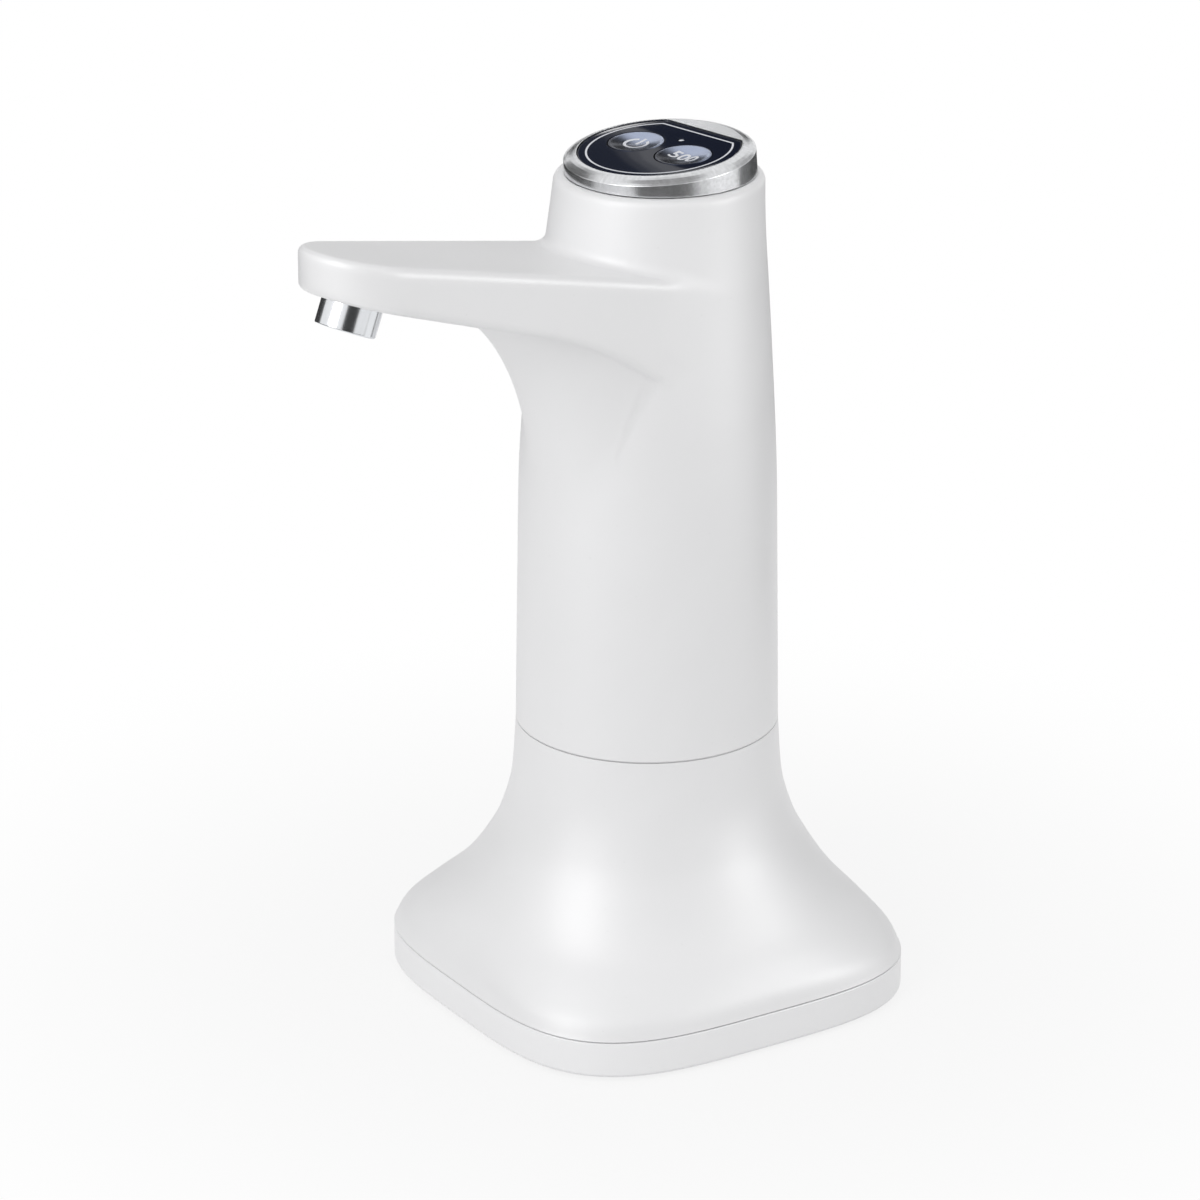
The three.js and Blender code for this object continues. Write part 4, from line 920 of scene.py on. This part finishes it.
def settle(piece, rounds, inset, step=0.02, stride=1.5, turns=6, flattest=0.3):
    """Moves a piece's points on to the head's outside, or a wall's thickness inside it."""
    flat = np.empty(3 * len(piece.data.vertices))
    piece.data.vertices.foreach_get("co", flat)
    points = flat.reshape(-1, 3) / MM
    for _ in range(turns):
        value = head_distance(points, rounds) + inset
        slope = np.stack([
            (head_distance(points + axis, rounds) - head_distance(points - axis, rounds)) / (2 * step)
            for axis in np.eye(3) * step
        ], axis=1)
        move = value[:, None] * slope / np.maximum((slope ** 2).sum(axis=1), flattest)[:, None]
        reach = np.linalg.norm(move, axis=1, keepdims=True)
        points = points - move * np.minimum(1, stride / np.maximum(reach, 1e-9))
    piece.data.vertices.foreach_set("co", (points * MM).ravel())
    piece.data.update()


def arm_rim(turn):
    """Reach of the arm's plan in one direction, found by halving."""
    near, far = 0.0, float(ARM_REACH)
    for _ in range(30):
        middle = (near + far) / 2
        if arm_plan(middle * math.cos(turn), middle * math.sin(turn)) < 0:
            near = middle
        else:
            far = middle
    return near


def rough_head(name, sweep):
    """A column and an arm, each drawn up ring by ring, joined into one rough solid."""
    rise, count = 4, 43
    heights = [SHELL_FOOT - FOOT_SPARE + rise * i for i in range(count)] + [SHOULDER]
    reaches = [ARM_REACH, 120, 110, 100, 90, 80, 72, 65, 59, 54, 50, 47, 44, 42]
    reaches += [40.5, 39.3, 38.4, 37.6, 36.9, SHOULDER_RADIUS]

    def on_column(level, turn):
        radius, middle = column_circle(heights[level])
        return middle + radius * math.cos(turn), radius * math.sin(turn), heights[level]

    def on_arm(level, turn):
        reach = arm_rim(turn)
        if level > 0:
            reach = min(reach, reaches[level - 1])
        x, y = reach * math.cos(turn), reach * math.sin(turn)
        return x, y, float(arm_top(x) if level == 0 else arm_underside(x, y, sweep))

    column = draw_up(name, 96, len(heights), on_column)
    return carve(column, draw_up("arm_blank", 128, len(reaches) + 1, on_arm), "UNION")


def settled_head(name, rounds, sweep, grain, inset):
    """A head with even faces on its true outside, or a wall's thickness inside it."""
    rounds = {**rounds, "sweep": sweep}
    piece = remesh(rough_head(name, sweep), grain)
    for _ in range(3):
        relax(piece, 2)
        settle(piece, rounds, inset)
    return piece


class BuildHeadShell(Step, bpy.types.Operator):
    """Column, neck and spout arm in one hollow moulding"""
    bl_idname = "jugpump.head_shell"
    bl_label = "Head shell"

    def execute(self, context):
        rounds = {
            "shoulder": size("shoulder_round"), "top": size("arm_top_round"),
            "crease": size("arm_crease_round"), "fillet": size("neck_fillet"),
        }
        wall, grain, inner_grain = size("shell_wall"), size("shell_grain"), 2.5
        shell = settled_head("head_shell", rounds, SWEEP_DROP, grain, 0)
        core = settled_head("head_core", rounds, 0, inner_grain, wall)
        ribs = put(copy_of(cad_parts["body_shell"], "head_ribs"), HEAD.inverted())
        room = settled_head("head_room", rounds, 0, inner_grain, wall - CLEARANCE)
        carve(ribs, room, "INTERSECT")
        carve(shell, core)
        shell = drop_chips(carve(shell, ribs, "UNION"))
        carve(shell, rod("foot_cut", 2 * SHOULDER_RADIUS, SHELL_FOOT - FOOT_CUT, SHELL_FOOT, 96))
        to_shoulder = moved(-SHOULDER_BACK, 0, SHOULDER)
        for radius, depth in ((SHOULDER_BORE, SHOULDER_CUT), (REBATE_RADIUS, REBATE_DEPTH)):
            carve(shell, put(rod("shoulder_cut", radius, -depth, SHOULDER_CUT, 128), to_shoulder))
        bore = rod("nozzle_cut", NOZZLE_RADIUS + CLEARANCE, NOZZLE_CUT_FOOT, NOZZLE_TOP, 96)
        carve(shell, put(bore, HEAD.inverted() @ NOZZLE))
        carve(shell, block("port_cut", PORT_LOW, PORT_HIGH, PORT_ROUND))
        put(shell, HEAD)
        finish_piece(shell, "head", "shell_white", ["body_shell"], 30)
        return {"FINISHED"}


# Base
FLARE_SPREAD = smooth_curve([row[0] for row in FLARE_SHARES], [row[1] for row in FLARE_SHARES])


def flare_half(rise):
    """Half side of the flare at a share of its height."""
    return NECK_RADIUS + (BASE_HALF - NECK_RADIUS) * FLARE_SPREAD(rise)


def flare_squareness(half):
    out = min(1, max(0, (half - NECK_RADIUS) / (BASE_HALF - NECK_RADIUS)))
    return ROUND + (SQUARENESS - ROUND) * out ** SQUARE_POWER


def flare_levels(inset, count=44, step=0.002, crowding=1.25):
    """Half sides, squareness and heights up the flare, outside or an inset inside it."""
    span = SEAM - FLARE_FOOT
    rises = np.linspace(0, 1, count) ** crowding
    high, low = np.minimum(1, rises + step), np.maximum(0, rises - step)
    slopes = (flare_half(high) - flare_half(low)) / ((high - low) * span)
    return [
        (
            float(half - inset / math.hypot(1, slope)), flare_squareness(float(half)),
            float(FLARE_FOOT + span * rise + inset * slope / math.hypot(1, slope)),
        )
        for half, rise, slope in zip(flare_half(rises), rises, slopes)
    ]


def with_squareness(outline, squareness):
    """Half sides and heights as levels of one squareness."""
    return [(half, squareness, z) for half, z in outline]


def draw_base(name, levels, count=192):
    """Draws up levels of half side, squareness and height."""
    def on_base(level, turn):
        half, exponent, z = levels[level]
        c, s = abs(math.cos(turn)), abs(math.sin(turn))
        reach = half / (c ** exponent + s ** exponent) ** (1 / exponent)
        return reach * math.cos(turn), reach * math.sin(turn), z

    return draw_up(name, count, len(levels), on_base, loop=levels[0] == levels[-1])


def cut_notch(piece, top):
    """Cuts the hose's notch in the back of the base."""
    low, high = (-BASE_HALF - NOTCH_PAST_BASE, -NOTCH_HALF, TRAY_TOP), (-NOTCH_DEEP, NOTCH_HALF, top)
    return carve(piece, block("notch_cut", low, high))


class BuildBaseFlare(Step, bpy.types.Operator):
    """Flared upper half of the base, square below and round above"""
    bl_idname = "jugpump.base_flare"
    bl_label = "Base flare"

    def neck(self, top):
        """The rim, the socket and the ledge that the seat turns on."""
        return with_squareness([
            (NECK_RADIUS, top - RIM_EDGE), (NECK_RADIUS - RIM_MIDDLE, top - RIM_MIDDLE),
            (NECK_RADIUS - RIM_EDGE, top), (SOCKET_RIM, top),
            (SOCKET_RADIUS, top - SOCKET_CHAMFER), (SOCKET_RADIUS, LEDGE_TOP),
            (LEDGE_BORE + LEDGE_EDGE, LEDGE_TOP), (LEDGE_BORE, LEDGE_TOP - LEDGE_EDGE),
            (LEDGE_BORE, LEDGE_FOOT + LEDGE_EDGE), (LEDGE_BORE + LEDGE_EDGE, LEDGE_FOOT),
            (LEDGE_RADIUS, LEDGE_FOOT),
        ], ROUND)

    def skirt(self, square):
        """The lip that fits inside the band."""
        return with_squareness([
            (SKIRT_INNER, SKIRT_TOP), (SKIRT_INNER, SKIRT_FOOT), (SKIRT_OUTER, SKIRT_FOOT),
            (SKIRT_OUTER, FLARE_FOOT),
        ], square)

    def execute(self, context):
        edge = size("edge_round")
        outside, inside = flare_levels(0), flare_levels(FLARE_WALL)
        square = outside[0][1]
        foot = [
            (BASE_HALF - edge * (1 - math.sin(a)), square, FLARE_FOOT + edge * (1 - math.cos(a)))
            for a in (0, 0.4, 0.8, 1.2)
        ]
        levels = [
            *foot, *[row for row in outside if FLARE_FOOT + edge <= row[2] <= SEAM - edge],
            *self.neck(SHELL_FOOT - size("seam_gap")),
            *[row for row in reversed(inside) if INSIDE_FOOT < row[2] < INSIDE_TOP],
            *self.skirt(square),
        ]
        flare = cut_notch(draw_base("base_flare", [*levels, levels[0]]), NOTCH_TOP)
        finish_piece(flare, "base", "shell_white", ["base_shell"])
        return {"FINISHED"}


class BuildBaseBand(Step, bpy.types.Operator):
    """Lower band and floor of the base"""
    bl_idname = "jugpump.base_band"
    bl_label = "Base band"

    def execute(self, context):
        inner, pad_room = BASE_HALF - FLARE_WALL, PAD_HALF + CLEARANCE
        middle, floor_edge = 40, 58
        corners = rounded([
            (pad_room, TRAY_FOOT), (pad_room, BAND_FOOT), (BASE_HALF, BAND_FOOT), (BASE_HALF, BAND_TOP),
            (inner, BAND_TOP), (inner, TRAY_TOP), (floor_edge, TRAY_TOP),
        ], [0, 0.2, size("band_round"), size("edge_round"), 0.3, 0.8, 0])
        outline = [(middle, TRAY_FOOT), *corners, (middle, TRAY_TOP)]
        band = draw_base("base_band", with_squareness(outline, SQUARENESS))
        for x, y in ((1, 1), (-1, 1), (-1, -1), (1, -1)):
            spot = moved(x * SCREW_OFF, y * SCREW_OFF)
            carve(band, put(rod("boss", *SCREW_BOSS, 32), spot), "UNION")
            carve(band, put(rod("pocket_cut", *SCREW_POCKET, 32), spot))
            carve(band, put(rod("screw_cut", *SCREW_BORE, 32), spot))
        cut_notch(band, BAND_TOP + NOTCH_PAST_BAND)
        finish_piece(band, "base", "band_white", ["base_tray"])
        return {"FINISHED"}


class BuildFootPad(Step, bpy.types.Operator):
    """Rubber pad that the base stands on"""
    bl_idname = "jugpump.foot_pad"
    bl_label = "Foot pad"

    def execute(self, context):
        middle = 20
        corners = rounded(
            [(middle, 0), (PAD_HALF, 0), (PAD_HALF, PAD_TOP), (middle, PAD_TOP)],
            [0, PAD_ROUND, PAD_ROUND, 0], 3,
        )
        pad = draw_base("rubber_foot", with_squareness(corners, SQUARENESS))
        finish_piece(pad, "base", "dark_rubber", ["foot_pad"])
        return {"FINISHED"}


# Top
def ring_foot(x):
    """Height of the ring's level underside, just over the shoulder, in the tilted frame."""
    tilt = math.radians(TOP_TILT)
    return (SHOULDER + CLEARANCE - TOP_HEIGHT + x * math.sin(tilt)) / math.cos(tilt)


def draw_top(name, levels, count=256):
    """Draws up levels of radius, chord and height.

    A level has one straight side at the back, at the chord's distance, or is a full circle where
    the chord is none. It lies on the ring's underside where the height is none.
    """
    def on_top(level, turn):
        radius, chord, z = levels[level]
        c = math.cos(turn)
        reach = min(radius, chord / -c) if chord is not None and c < 0 else radius
        x, y = reach * c, reach * math.sin(turn)
        return x, y, ring_foot(x) if z is None else z

    return draw_up(name, count, len(levels), on_top, loop=levels[0] == levels[-1])


def panel_level(inset, z):
    """A level of the panel's outline, inset from its edge."""
    return PANEL_RADIUS - inset, PANEL_CHORD - inset, z


class BuildSteelRing(Step, bpy.types.Operator):
    """Bevelled steel ring with a flat segment at the back of its window"""
    bl_idname = "jugpump.steel_ring"
    bl_label = "Steel ring"

    def execute(self, context):
        edge, window = size("edge_round"), PANEL_RADIUS + CLEARANCE
        side_foot, guide = -2, 23.2
        # The guide ends the last arc and isn't drawn itself
        outline = rounded(
            [(RING_RADIUS, side_foot), *RING_BEVEL, (guide, RING_TOP)],
            [0, edge / 2, BEVEL_ROUND, BEVEL_ROUND, BEVEL_ROUND, edge, 0], 4,
        )
        levels = [
            (RING_RADIUS, None, None), *[(radius, None, z) for radius, z in outline[:-1]],
            panel_level(-CLEARANCE, RING_TOP), panel_level(-CLEARANCE, RING_FLOOR),
            (window, None, RING_FLOOR), (window, None, None),
        ]
        ring = put(draw_top("steel_ring", [*levels, levels[0]]), TOP)
        finish_piece(ring, "head", "trim_steel", ["trim_ring"])
        return {"FINISHED"}


class BuildTouchPanel(Step, bpy.types.Operator):
    """Glossy panel with one straight side, and its pale outline"""
    bl_idname = "jugpump.panel"
    bl_label = "Touch panel"

    def execute(self, context):
        rim = [(0, RING_FLOOR), (0, 1.25), (0.08, 1.43), (0.25, PANEL_TOP)]
        panel = draw_top("touch_plate", [
            (PANEL_MIDDLE, None, RING_FLOOR), *[panel_level(inset, z) for inset, z in rim],
            (PANEL_MIDDLE, None, PANEL_TOP),
        ])
        low, high = RING_FLOOR - 0.9, PANEL_TOP + 1
        for y in (-BUTTON_OFF, BUTTON_OFF):
            carve(panel, put(rod("button_cut", BUTTON_RADIUS + CLEARANCE, low, high, 96), moved(0, y)))
        carve(panel, put(rod("light_cut", LIGHT_RADIUS + CLEARANCE, low, high), moved(LIGHT_OFF)))
        put(panel, TOP)
        finish_piece(panel, "head", "panel_navy", ["touch_panel"], 30)
        near = size("outline_inset")
        far = near + size("outline_width")
        sunk, raised = PANEL_TOP - 0.01, PANEL_TOP + 0.03
        strip = [
            panel_level(inset, z)
            for inset, z in ((near, sunk), (near, raised), (far, raised), (far, sunk), (near, sunk))
        ]
        line = put(draw_top("panel_outline", strip), TOP)
        finish_piece(line, "head", "panel_navy", (), 30, "mark_white")
        return {"FINISHED"}


def dish_height(radius):
    """Height of a button's dished face at a distance from its middle."""
    reach = np.clip(1 - radius / DISH_RADIUS, 0, 1)
    return PANEL_TOP - size("button_dish") * np.sin(math.pi / 2 * reach) ** DISH_POWER


def button_cap(name):
    """A dished cap on a flange, with a stem that reaches its switch."""
    stem, flange, foot, ledge, shelf, count = 1.5, 8.9, -1.5, -1.2, -0.4, 14
    reaches = [DISH_RADIUS * (1 - k / count) for k in range(count + 1)]
    edge = rounded(
        [(BUTTON_RADIUS, shelf), (BUTTON_RADIUS, PANEL_TOP), (BUTTON_RADIUS - 0.5, PANEL_TOP)],
        [0, 0.3, 0], 4,
    )
    return turn_up(name, [
        (0, foot), (stem, foot), (stem, ledge), (flange, ledge), (flange, shelf), *edge[:-1],
        *[(reach, dish_height(reach)) for reach in reaches],
    ])


def lay_on_button(piece, y):
    """Lays a flat mark on a button's dished face, in the tilted top's frame."""
    for vertex in piece.data.vertices:
        px, py, pz = vertex.co / MM
        vertex.co.z = (float(dish_height(math.hypot(px, py))) + pz * MARK_RISE / MARK_HALF) * MM
        vertex.co.y += y * MM
    return piece


def solid_text(name, words, height):
    """Digits as a thin closed mesh, centred and read from the spout's side."""
    begin()
    bpy.ops.object.text_add()
    text = added(name)
    text.data.body = words
    text.data.size = height * MM
    text.data.align_x = text.data.align_y = "CENTER"
    text.data.extrude = MARK_HALF * MM
    text.data.resolution_u = 6
    text.data.offset = DIGIT_SWELL * MM
    bpy.ops.object.convert(target="MESH")
    text = bpy.context.object
    with editing():
        bpy.ops.mesh.remove_doubles(threshold=1e-7)
    return remesh(text, MARK_GRAIN)


def power_sign(name):
    """A broken circle with a bar through its gap."""
    inner, outer, gap, bar_half, bar_top = 2.9, 3.75, 0.5, 0.42, 4.1
    aside = Vector((math.sin(gap), math.cos(gap), 0))
    up = Vector((0, 0, MARK_HALF))
    corners = inner * aside - up, outer * aside - up, outer * aside + up, inner * aside + up
    sign = draw_outline(name, [*corners, corners[0]])
    bpy.ops.mesh.remove_doubles(threshold=1e-7)
    spin(48, 2 * (math.pi - gap))
    bpy.ops.mesh.select_all(action="SELECT")
    bpy.ops.mesh.fill_holes(sides=0)
    close_skin()
    bpy.ops.object.mode_set(mode="OBJECT")
    bar = block("power_bar", (-bar_half, 0, -MARK_HALF), (bar_half, bar_top, MARK_HALF))
    with editing():
        bpy.ops.mesh.subdivide(number_cuts=3)
    take(sign)
    bar.select_set(True)
    bpy.ops.object.join()
    return sign


class BuildButtons(Step, bpy.types.Operator):
    """Two dished buttons with a power sign and digits"""
    bl_idname = "jugpump.buttons"
    bl_label = "Buttons"

    def execute(self, context):
        for node, body, y, mark in (
            ("power_button", "power_key", -BUTTON_OFF, power_sign("power_mark")),
            ("volume_button", "volume_key", BUTTON_OFF, solid_text("volume_mark", "500", DIGIT_HEIGHT)),
        ):
            cap = put(button_cap(f"{node}_cap"), TOP @ moved(0, y))
            finish_piece(cap, body, "button_blue", [node])
            put(mark, turned("Z", 90))
            put(lay_on_button(mark, y), TOP)
            finish_piece(mark, body, "button_blue", look="mark_white")
        return {"FINISHED"}


class BuildIndicator(Step, bpy.types.Operator):
    """Small domed lens of the light between the buttons"""
    bl_idname = "jugpump.indicator"
    bl_label = "Indicator light"

    def execute(self, context):
        flat = TOP.inverted()
        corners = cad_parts["indicator_light"].data.vertices
        low = min((flat @ corner.co / MM).z for corner in corners)
        flange, shelf, rim, rise = 2 * LIGHT_RADIUS, low + 1.75, 1.05, 0.35
        foot = rounded(
            [(0, low), (flange, low), (flange, shelf), (LIGHT_RADIUS, shelf), (LIGHT_RADIUS, rim)],
            [0, 0.15, 0.2, 0.1, 0],
        )
        dome = [
            (LIGHT_RADIUS * math.cos(a), rim + rise * math.sin(a))
            for a in np.linspace(0, math.pi / 2, 8)[:-1]
        ]
        lens = turn_up("light_dome", [*foot, *dome, (0, rim + rise)], 48)
        put(lens, TOP @ moved(LIGHT_OFF))
        finish_piece(lens, "head", "light_lens", ["indicator_light"], 50)
        return {"FINISHED"}


class BuildNozzle(Step, bpy.types.Operator):
    """Chromed nozzle with a rolled lip, and its flow insert"""
    bl_idname = "jugpump.nozzle"
    bl_label = "Nozzle"

    def nozzle(self):
        outline = rounded([
            (NOZZLE_BORE, NOZZLE_TOP), (NOZZLE_BORE, NOZZLE_FOOT), (NOZZLE_RADIUS, NOZZLE_FOOT),
            (NOZZLE_RADIUS, FLANGE_FOOT), (NOZZLE_FLANGE, FLANGE_FOOT), (NOZZLE_FLANGE, NOZZLE_TOP),
            (NOZZLE_BORE, NOZZLE_TOP),
        ], [0, 0.5, 0.5, 0.2, 0.3, 0.3, 0])
        return turn_up("chrome_nozzle", outline, 128)

    def insert(self):
        radius, low, high, edge = NOZZLE_BORE - CLEARANCE, -2.7, -0.7, 0.25
        corners = [(0, low), (radius, low), (radius, high), (0, high)]
        insert = turn_up("nozzle_insert", rounded(corners, [0, edge, edge, 0], 3))
        turns = [math.pi / 3 * i for i in range(6)]
        spots = [(HOLE_RING * math.cos(turn), HOLE_RING * math.sin(turn)) for turn in turns]
        for x, y in (*spots, (0, 0)):
            carve(insert, put(rod("hole_cut", HOLE_RADIUS, -4, 1, 24), moved(x, y)))
        return insert

    def execute(self, context):
        finish_piece(put(self.nozzle(), NOZZLE), "head", "nozzle_chrome", ["nozzle"])
        finish_piece(put(self.insert(), NOZZLE), "head", "inner_white", ["flow_insert"])
        return {"FINISHED"}


# Finishes of the nodes that keep the frame's own shape
INSIDE = {
    "plain_steel": [
        *[f"base_screw_{i}" for i in range(1, 5)], *[f"cap_screw_{i}" for i in range(1, 4)],
        *[f"pump_screw_{i}" for i in range(1, 5)], "motor_can", "motor_rotor", "charge_socket",
    ],
    "black_plastic": [
        "pump_cover", "pump_housing", "motor_end_cap", "panel_carrier", "power_switch",
        "volume_switch",
    ],
    "dark_rubber": ["seat_ring", "pump_diaphragm", "nozzle_seal", "ring_gasket"],
    "inner_white": ["bottom_cap", "inner_frame", "pump_cam", "nozzle_elbow"],
    "clear_silicone": ["inlet_fitting", "inlet_hose", "valve_plate", "outlet_hose"],
    "inlet_brass": ["inlet_nut"],
    "cell_blue": ["battery_cell"],
    "board_green": ["charge_board", "control_board"],
    "lead_red": ["motor_lead", "battery_lead", "charge_lead"],
}


class FinishInside(Step, bpy.types.Operator):
    """Materials of the pieces that keep the frame's own shape"""
    bl_idname = "jugpump.inside"
    bl_label = "Inside finishes"

    def execute(self, context):
        wanted = {node: name for name, nodes in INSIDE.items() for node in nodes}
        for name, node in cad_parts.items():
            if node.hide_render:
                continue
            for slot in node.material_slots:
                slot.material = finish(wanted[name])
        return {"FINISHED"}


# Stage, with bearings in degrees from the camera's own, positive to the right
CAMERA_BEARING = 57.26
CAMERA_RISE = math.radians(20.57)
CAMERA_DISTANCE = 1500
CAMERA_MIDDLE = 130
CAMERA_AIM = Vector((11.6, -7.46, 118.36))
CAMERA_LENS = 154.6
SENSOR_WIDTH = 36
FLOOR_RADIUS = 4000
FLOOR_HEIGHT = -0.4
LAMP_AIM = Vector((0, 0, 140))
LAMP_SIDE = 500
WHITE = (1, 1, 1, 1)
# Bearing, distance and height of the lamps
KEY_PLACE = (-33, 1000, 600)
FILL_PLACE = (88, 1100, 500)
# Cards that only reflections see: name, bearings, distance, low and high edges, level, lean
CARDS = [
    ("left_gloss", (-62, -38), 900, 320, 2200, 5.5, 0),
    ("right_gloss", (62, 86), 900, 190, 620, 6.8, 0),
    ("front_card", (-14, 27), 1100, 0, 900, 0.05, 0),
    ("low_front_card", (-40, 41), 400, 0, 150, 0.09, 0),
    ("low_corner_card", (41, 62), 400, 0, 105, 0.09, 0),
    ("low_left_card", (-98, -66), 400, 0, 150, 0.09, 0),
    ("low_right_card", (104, 132), 330, 0, 200, 0.09, 0),
    ("left_edge_card", (-160, -104), 900, 0, 380, 0.05, 0),
    ("back_card", (132, 262), 520, 0, 160, 0.05, 0),
    ("ring_left_card", (208, 246), 900, 480, 1150, 0.12, 0),
    ("ring_right_card", (118, 150), 900, 480, 1200, 0.45, 0),
    ("button_right_card", (172, 179.9), 900, 627, 950, 0.02, 0),
    ("panel_right_card", (179.9, 183.17), 900, 600, 668, 0.03, -1.78),
    ("panel_pale_card", (183.17, 183.85), 900, 600, 668, 0.5, -1.78),
    ("panel_fading_card", (183.85, 184.2), 900, 600, 668, 0.32, -1.78),
    ("panel_dim_card", (184.2, 184.55), 900, 600, 668, 0.16, -1.78),
    ("panel_left_card", (184.55, 188), 900, 600, 668, 0.06, -1.78),
    ("button_low_card", (165, 200), 890, 300, 545, 0.02, 0),
    ("flat_card", (177, 186), 890, 560, 598, 3.2, 0),
]


def around(bearing, distance, height):
    """A place at a bearing from the camera's own."""
    turn = math.radians(CAMERA_BEARING + bearing)
    return Vector((distance * math.cos(turn), distance * math.sin(turn), height))


def look_at(piece, place, aim):
    piece.rotation_euler = (aim - place).to_track_quat("-Z", "Y").to_euler()


def soft_lamp(name, place, watts):
    """A square lamp for the diffuse light alone, which reflections don't see."""
    begin()
    bpy.ops.object.light_add(type="AREA", location=place * MM)
    lamp = added(name)
    lamp.data.shape = "RECTANGLE"
    lamp.data.size = lamp.data.size_y = LAMP_SIDE * MM
    lamp.data.energy = watts
    lamp.visible_glossy = False
    look_at(lamp, place, LAMP_AIM)


def pale_floor():
    """A pale matt floor that keeps the shadow and fades to plain white further out."""
    material, nodes, shader = new_material("pale_floor")
    nodes.feed(shader, {"Base Color": tint("floor"), "Roughness": 0.9, "Specular IOR Level": 0})
    distance = nodes.vectors("Distance", "LENGTH", nodes.place(), result="Value")
    far = nodes.spread("Far", distance, 0.82, 1, 60 * MM, 300 * MM, "SMOOTHSTEP")
    white = nodes.add("ShaderNodeEmission", "Plain white")
    seen = nodes.maths("Far and seen", "MULTIPLY", far, nodes.sight())
    surface = nodes.mix_shaders("Far floor", seen, shader, white)
    nodes.feed(nodes.tree.nodes["Material Output"], {"Surface": surface})
    return material


def studio_world(level):
    """Even light at a level, in front of a background that looks plain white."""
    world = bpy.data.worlds.new("studio")
    world.use_nodes = True
    nodes = Nodes(world.node_tree)
    nodes.tree.nodes.clear()
    even = nodes.add("ShaderNodeBackground", "Even light", {"Color": WHITE, "Strength": level})
    white = nodes.add("ShaderNodeBackground", "White background", {"Color": WHITE})
    surface = nodes.mix_shaders("By sight", nodes.sight(), even, white)
    nodes.add("ShaderNodeOutputWorld", "World", {"Surface": surface})
    return world


def make_card(piece, name, level):
    """Makes a card of a piece, seen by reflections alone, at a level of light."""
    piece.name = name
    piece.visible_camera = piece.visible_diffuse = piece.visible_shadow = False
    piece.visible_transmission = False
    material, nodes, shader = new_material(name)
    nodes.feed(shader, {
        "Base Color": (0, 0, 0, 1), "Roughness": 1, "Specular IOR Level": 0,
        "Emission Color": WHITE, "Emission Strength": level,
    })
    piece.data.materials.append(material)


def bent_card(name, bearings, distance, low, high, level, lean):
    """A bent card that only reflections see, so that metal and gloss have something to mirror."""
    begin()
    bpy.ops.mesh.primitive_grid_add(x_subdivisions=24, y_subdivisions=1, size=2)
    piece = bpy.context.object
    for vertex in piece.data.vertices:
        along, rise = (vertex.co.x + 1) / 2, (vertex.co.y + 1) / 2
        bearing = bearings[0] + (bearings[1] - bearings[0]) * along + lean * rise
        vertex.co = around(bearing, distance, low + (high - low) * rise) * MM
    make_card(piece, name, level)


def disc(count, radius, height):
    begin()
    bpy.ops.mesh.primitive_circle_add(
        vertices=count, radius=radius * MM, fill_type="NGON", location=(0, 0, height * MM),
    )
    return bpy.context.object


def add_camera():
    """A camera at the photo's angle."""
    reach = CAMERA_DISTANCE * math.cos(CAMERA_RISE)
    place = around(0, reach, CAMERA_MIDDLE + CAMERA_DISTANCE * math.sin(CAMERA_RISE))
    bpy.ops.object.camera_add(location=place * MM)
    camera = bpy.context.object
    camera.data.lens = CAMERA_LENS
    camera.data.sensor_width = SENSOR_WIDTH
    look_at(camera, place, CAMERA_AIM)
    return camera


class BuildStage(Step, bpy.types.Operator):
    """Floor, world, lamps, cards and camera"""
    bl_idname = "jugpump.stage"
    bl_label = "Stage"

    def execute(self, context):
        scene = context.scene
        light = scene.jug_pump_light
        floor = disc(96, FLOOR_RADIUS, FLOOR_HEIGHT)
        floor.name = "floor"
        floor.data.materials.append(pale_floor())
        scene.world = studio_world(light.world)
        soft_lamp("key_lamp", around(*KEY_PLACE), light.key)
        soft_lamp("fill_lamp", around(*FILL_PLACE), light.fill)
        for row in CARDS:
            bent_card(*row)
        make_card(disc(48, 380, 1250), "ceiling_card", 0.35)
        scene.camera = add_camera()
        scene.view_settings.view_transform = "Standard"
        return {"FINISHED"}


STEPS = [
    BuildStage, BuildHeadShell, BuildBaseFlare, BuildBaseBand, BuildFootPad, BuildSteelRing,
    BuildTouchPanel, BuildButtons, BuildIndicator, BuildNozzle, FinishInside,
]
GROUPS = {
    "jug_pump_sizes": JugPumpSizes, "jug_pump_colours": JugPumpColours, "jug_pump_light": JugPumpLight,
}


class JugPumpPanel(bpy.types.Panel):
    """Lists the steps in the order in which they build the pump"""
    bl_idname = "VIEW3D_PT_jug_pump"
    bl_label = "Jug pump"
    bl_space_type = "VIEW_3D"
    bl_region_type = "UI"
    bl_category = "Jug pump"

    def draw(self, context):
        for step in STEPS:
            self.layout.operator(step.bl_idname)
        for group in GROUPS:
            values = getattr(context.scene, group)
            for name in values.bl_rna.properties.keys():
                if name not in ("rna_type", "name"):
                    self.layout.prop(values, name)


def register():
    for kind in (*GROUPS.values(), *STEPS, JugPumpPanel):
        bpy.utils.register_class(kind)
    for name, kind in GROUPS.items():
        setattr(bpy.types.Scene, name, bpy.props.PointerProperty(type=kind))


def unregister():
    for name in GROUPS:
        delattr(bpy.types.Scene, name)
    for kind in reversed((*GROUPS.values(), *STEPS, JugPumpPanel)):
        bpy.utils.unregister_class(kind)


def main():
    register()
    for step in STEPS:
        family, name = step.bl_idname.split(".")
        getattr(getattr(bpy.ops, family), name)()


if __name__ == "__main__":
    main()
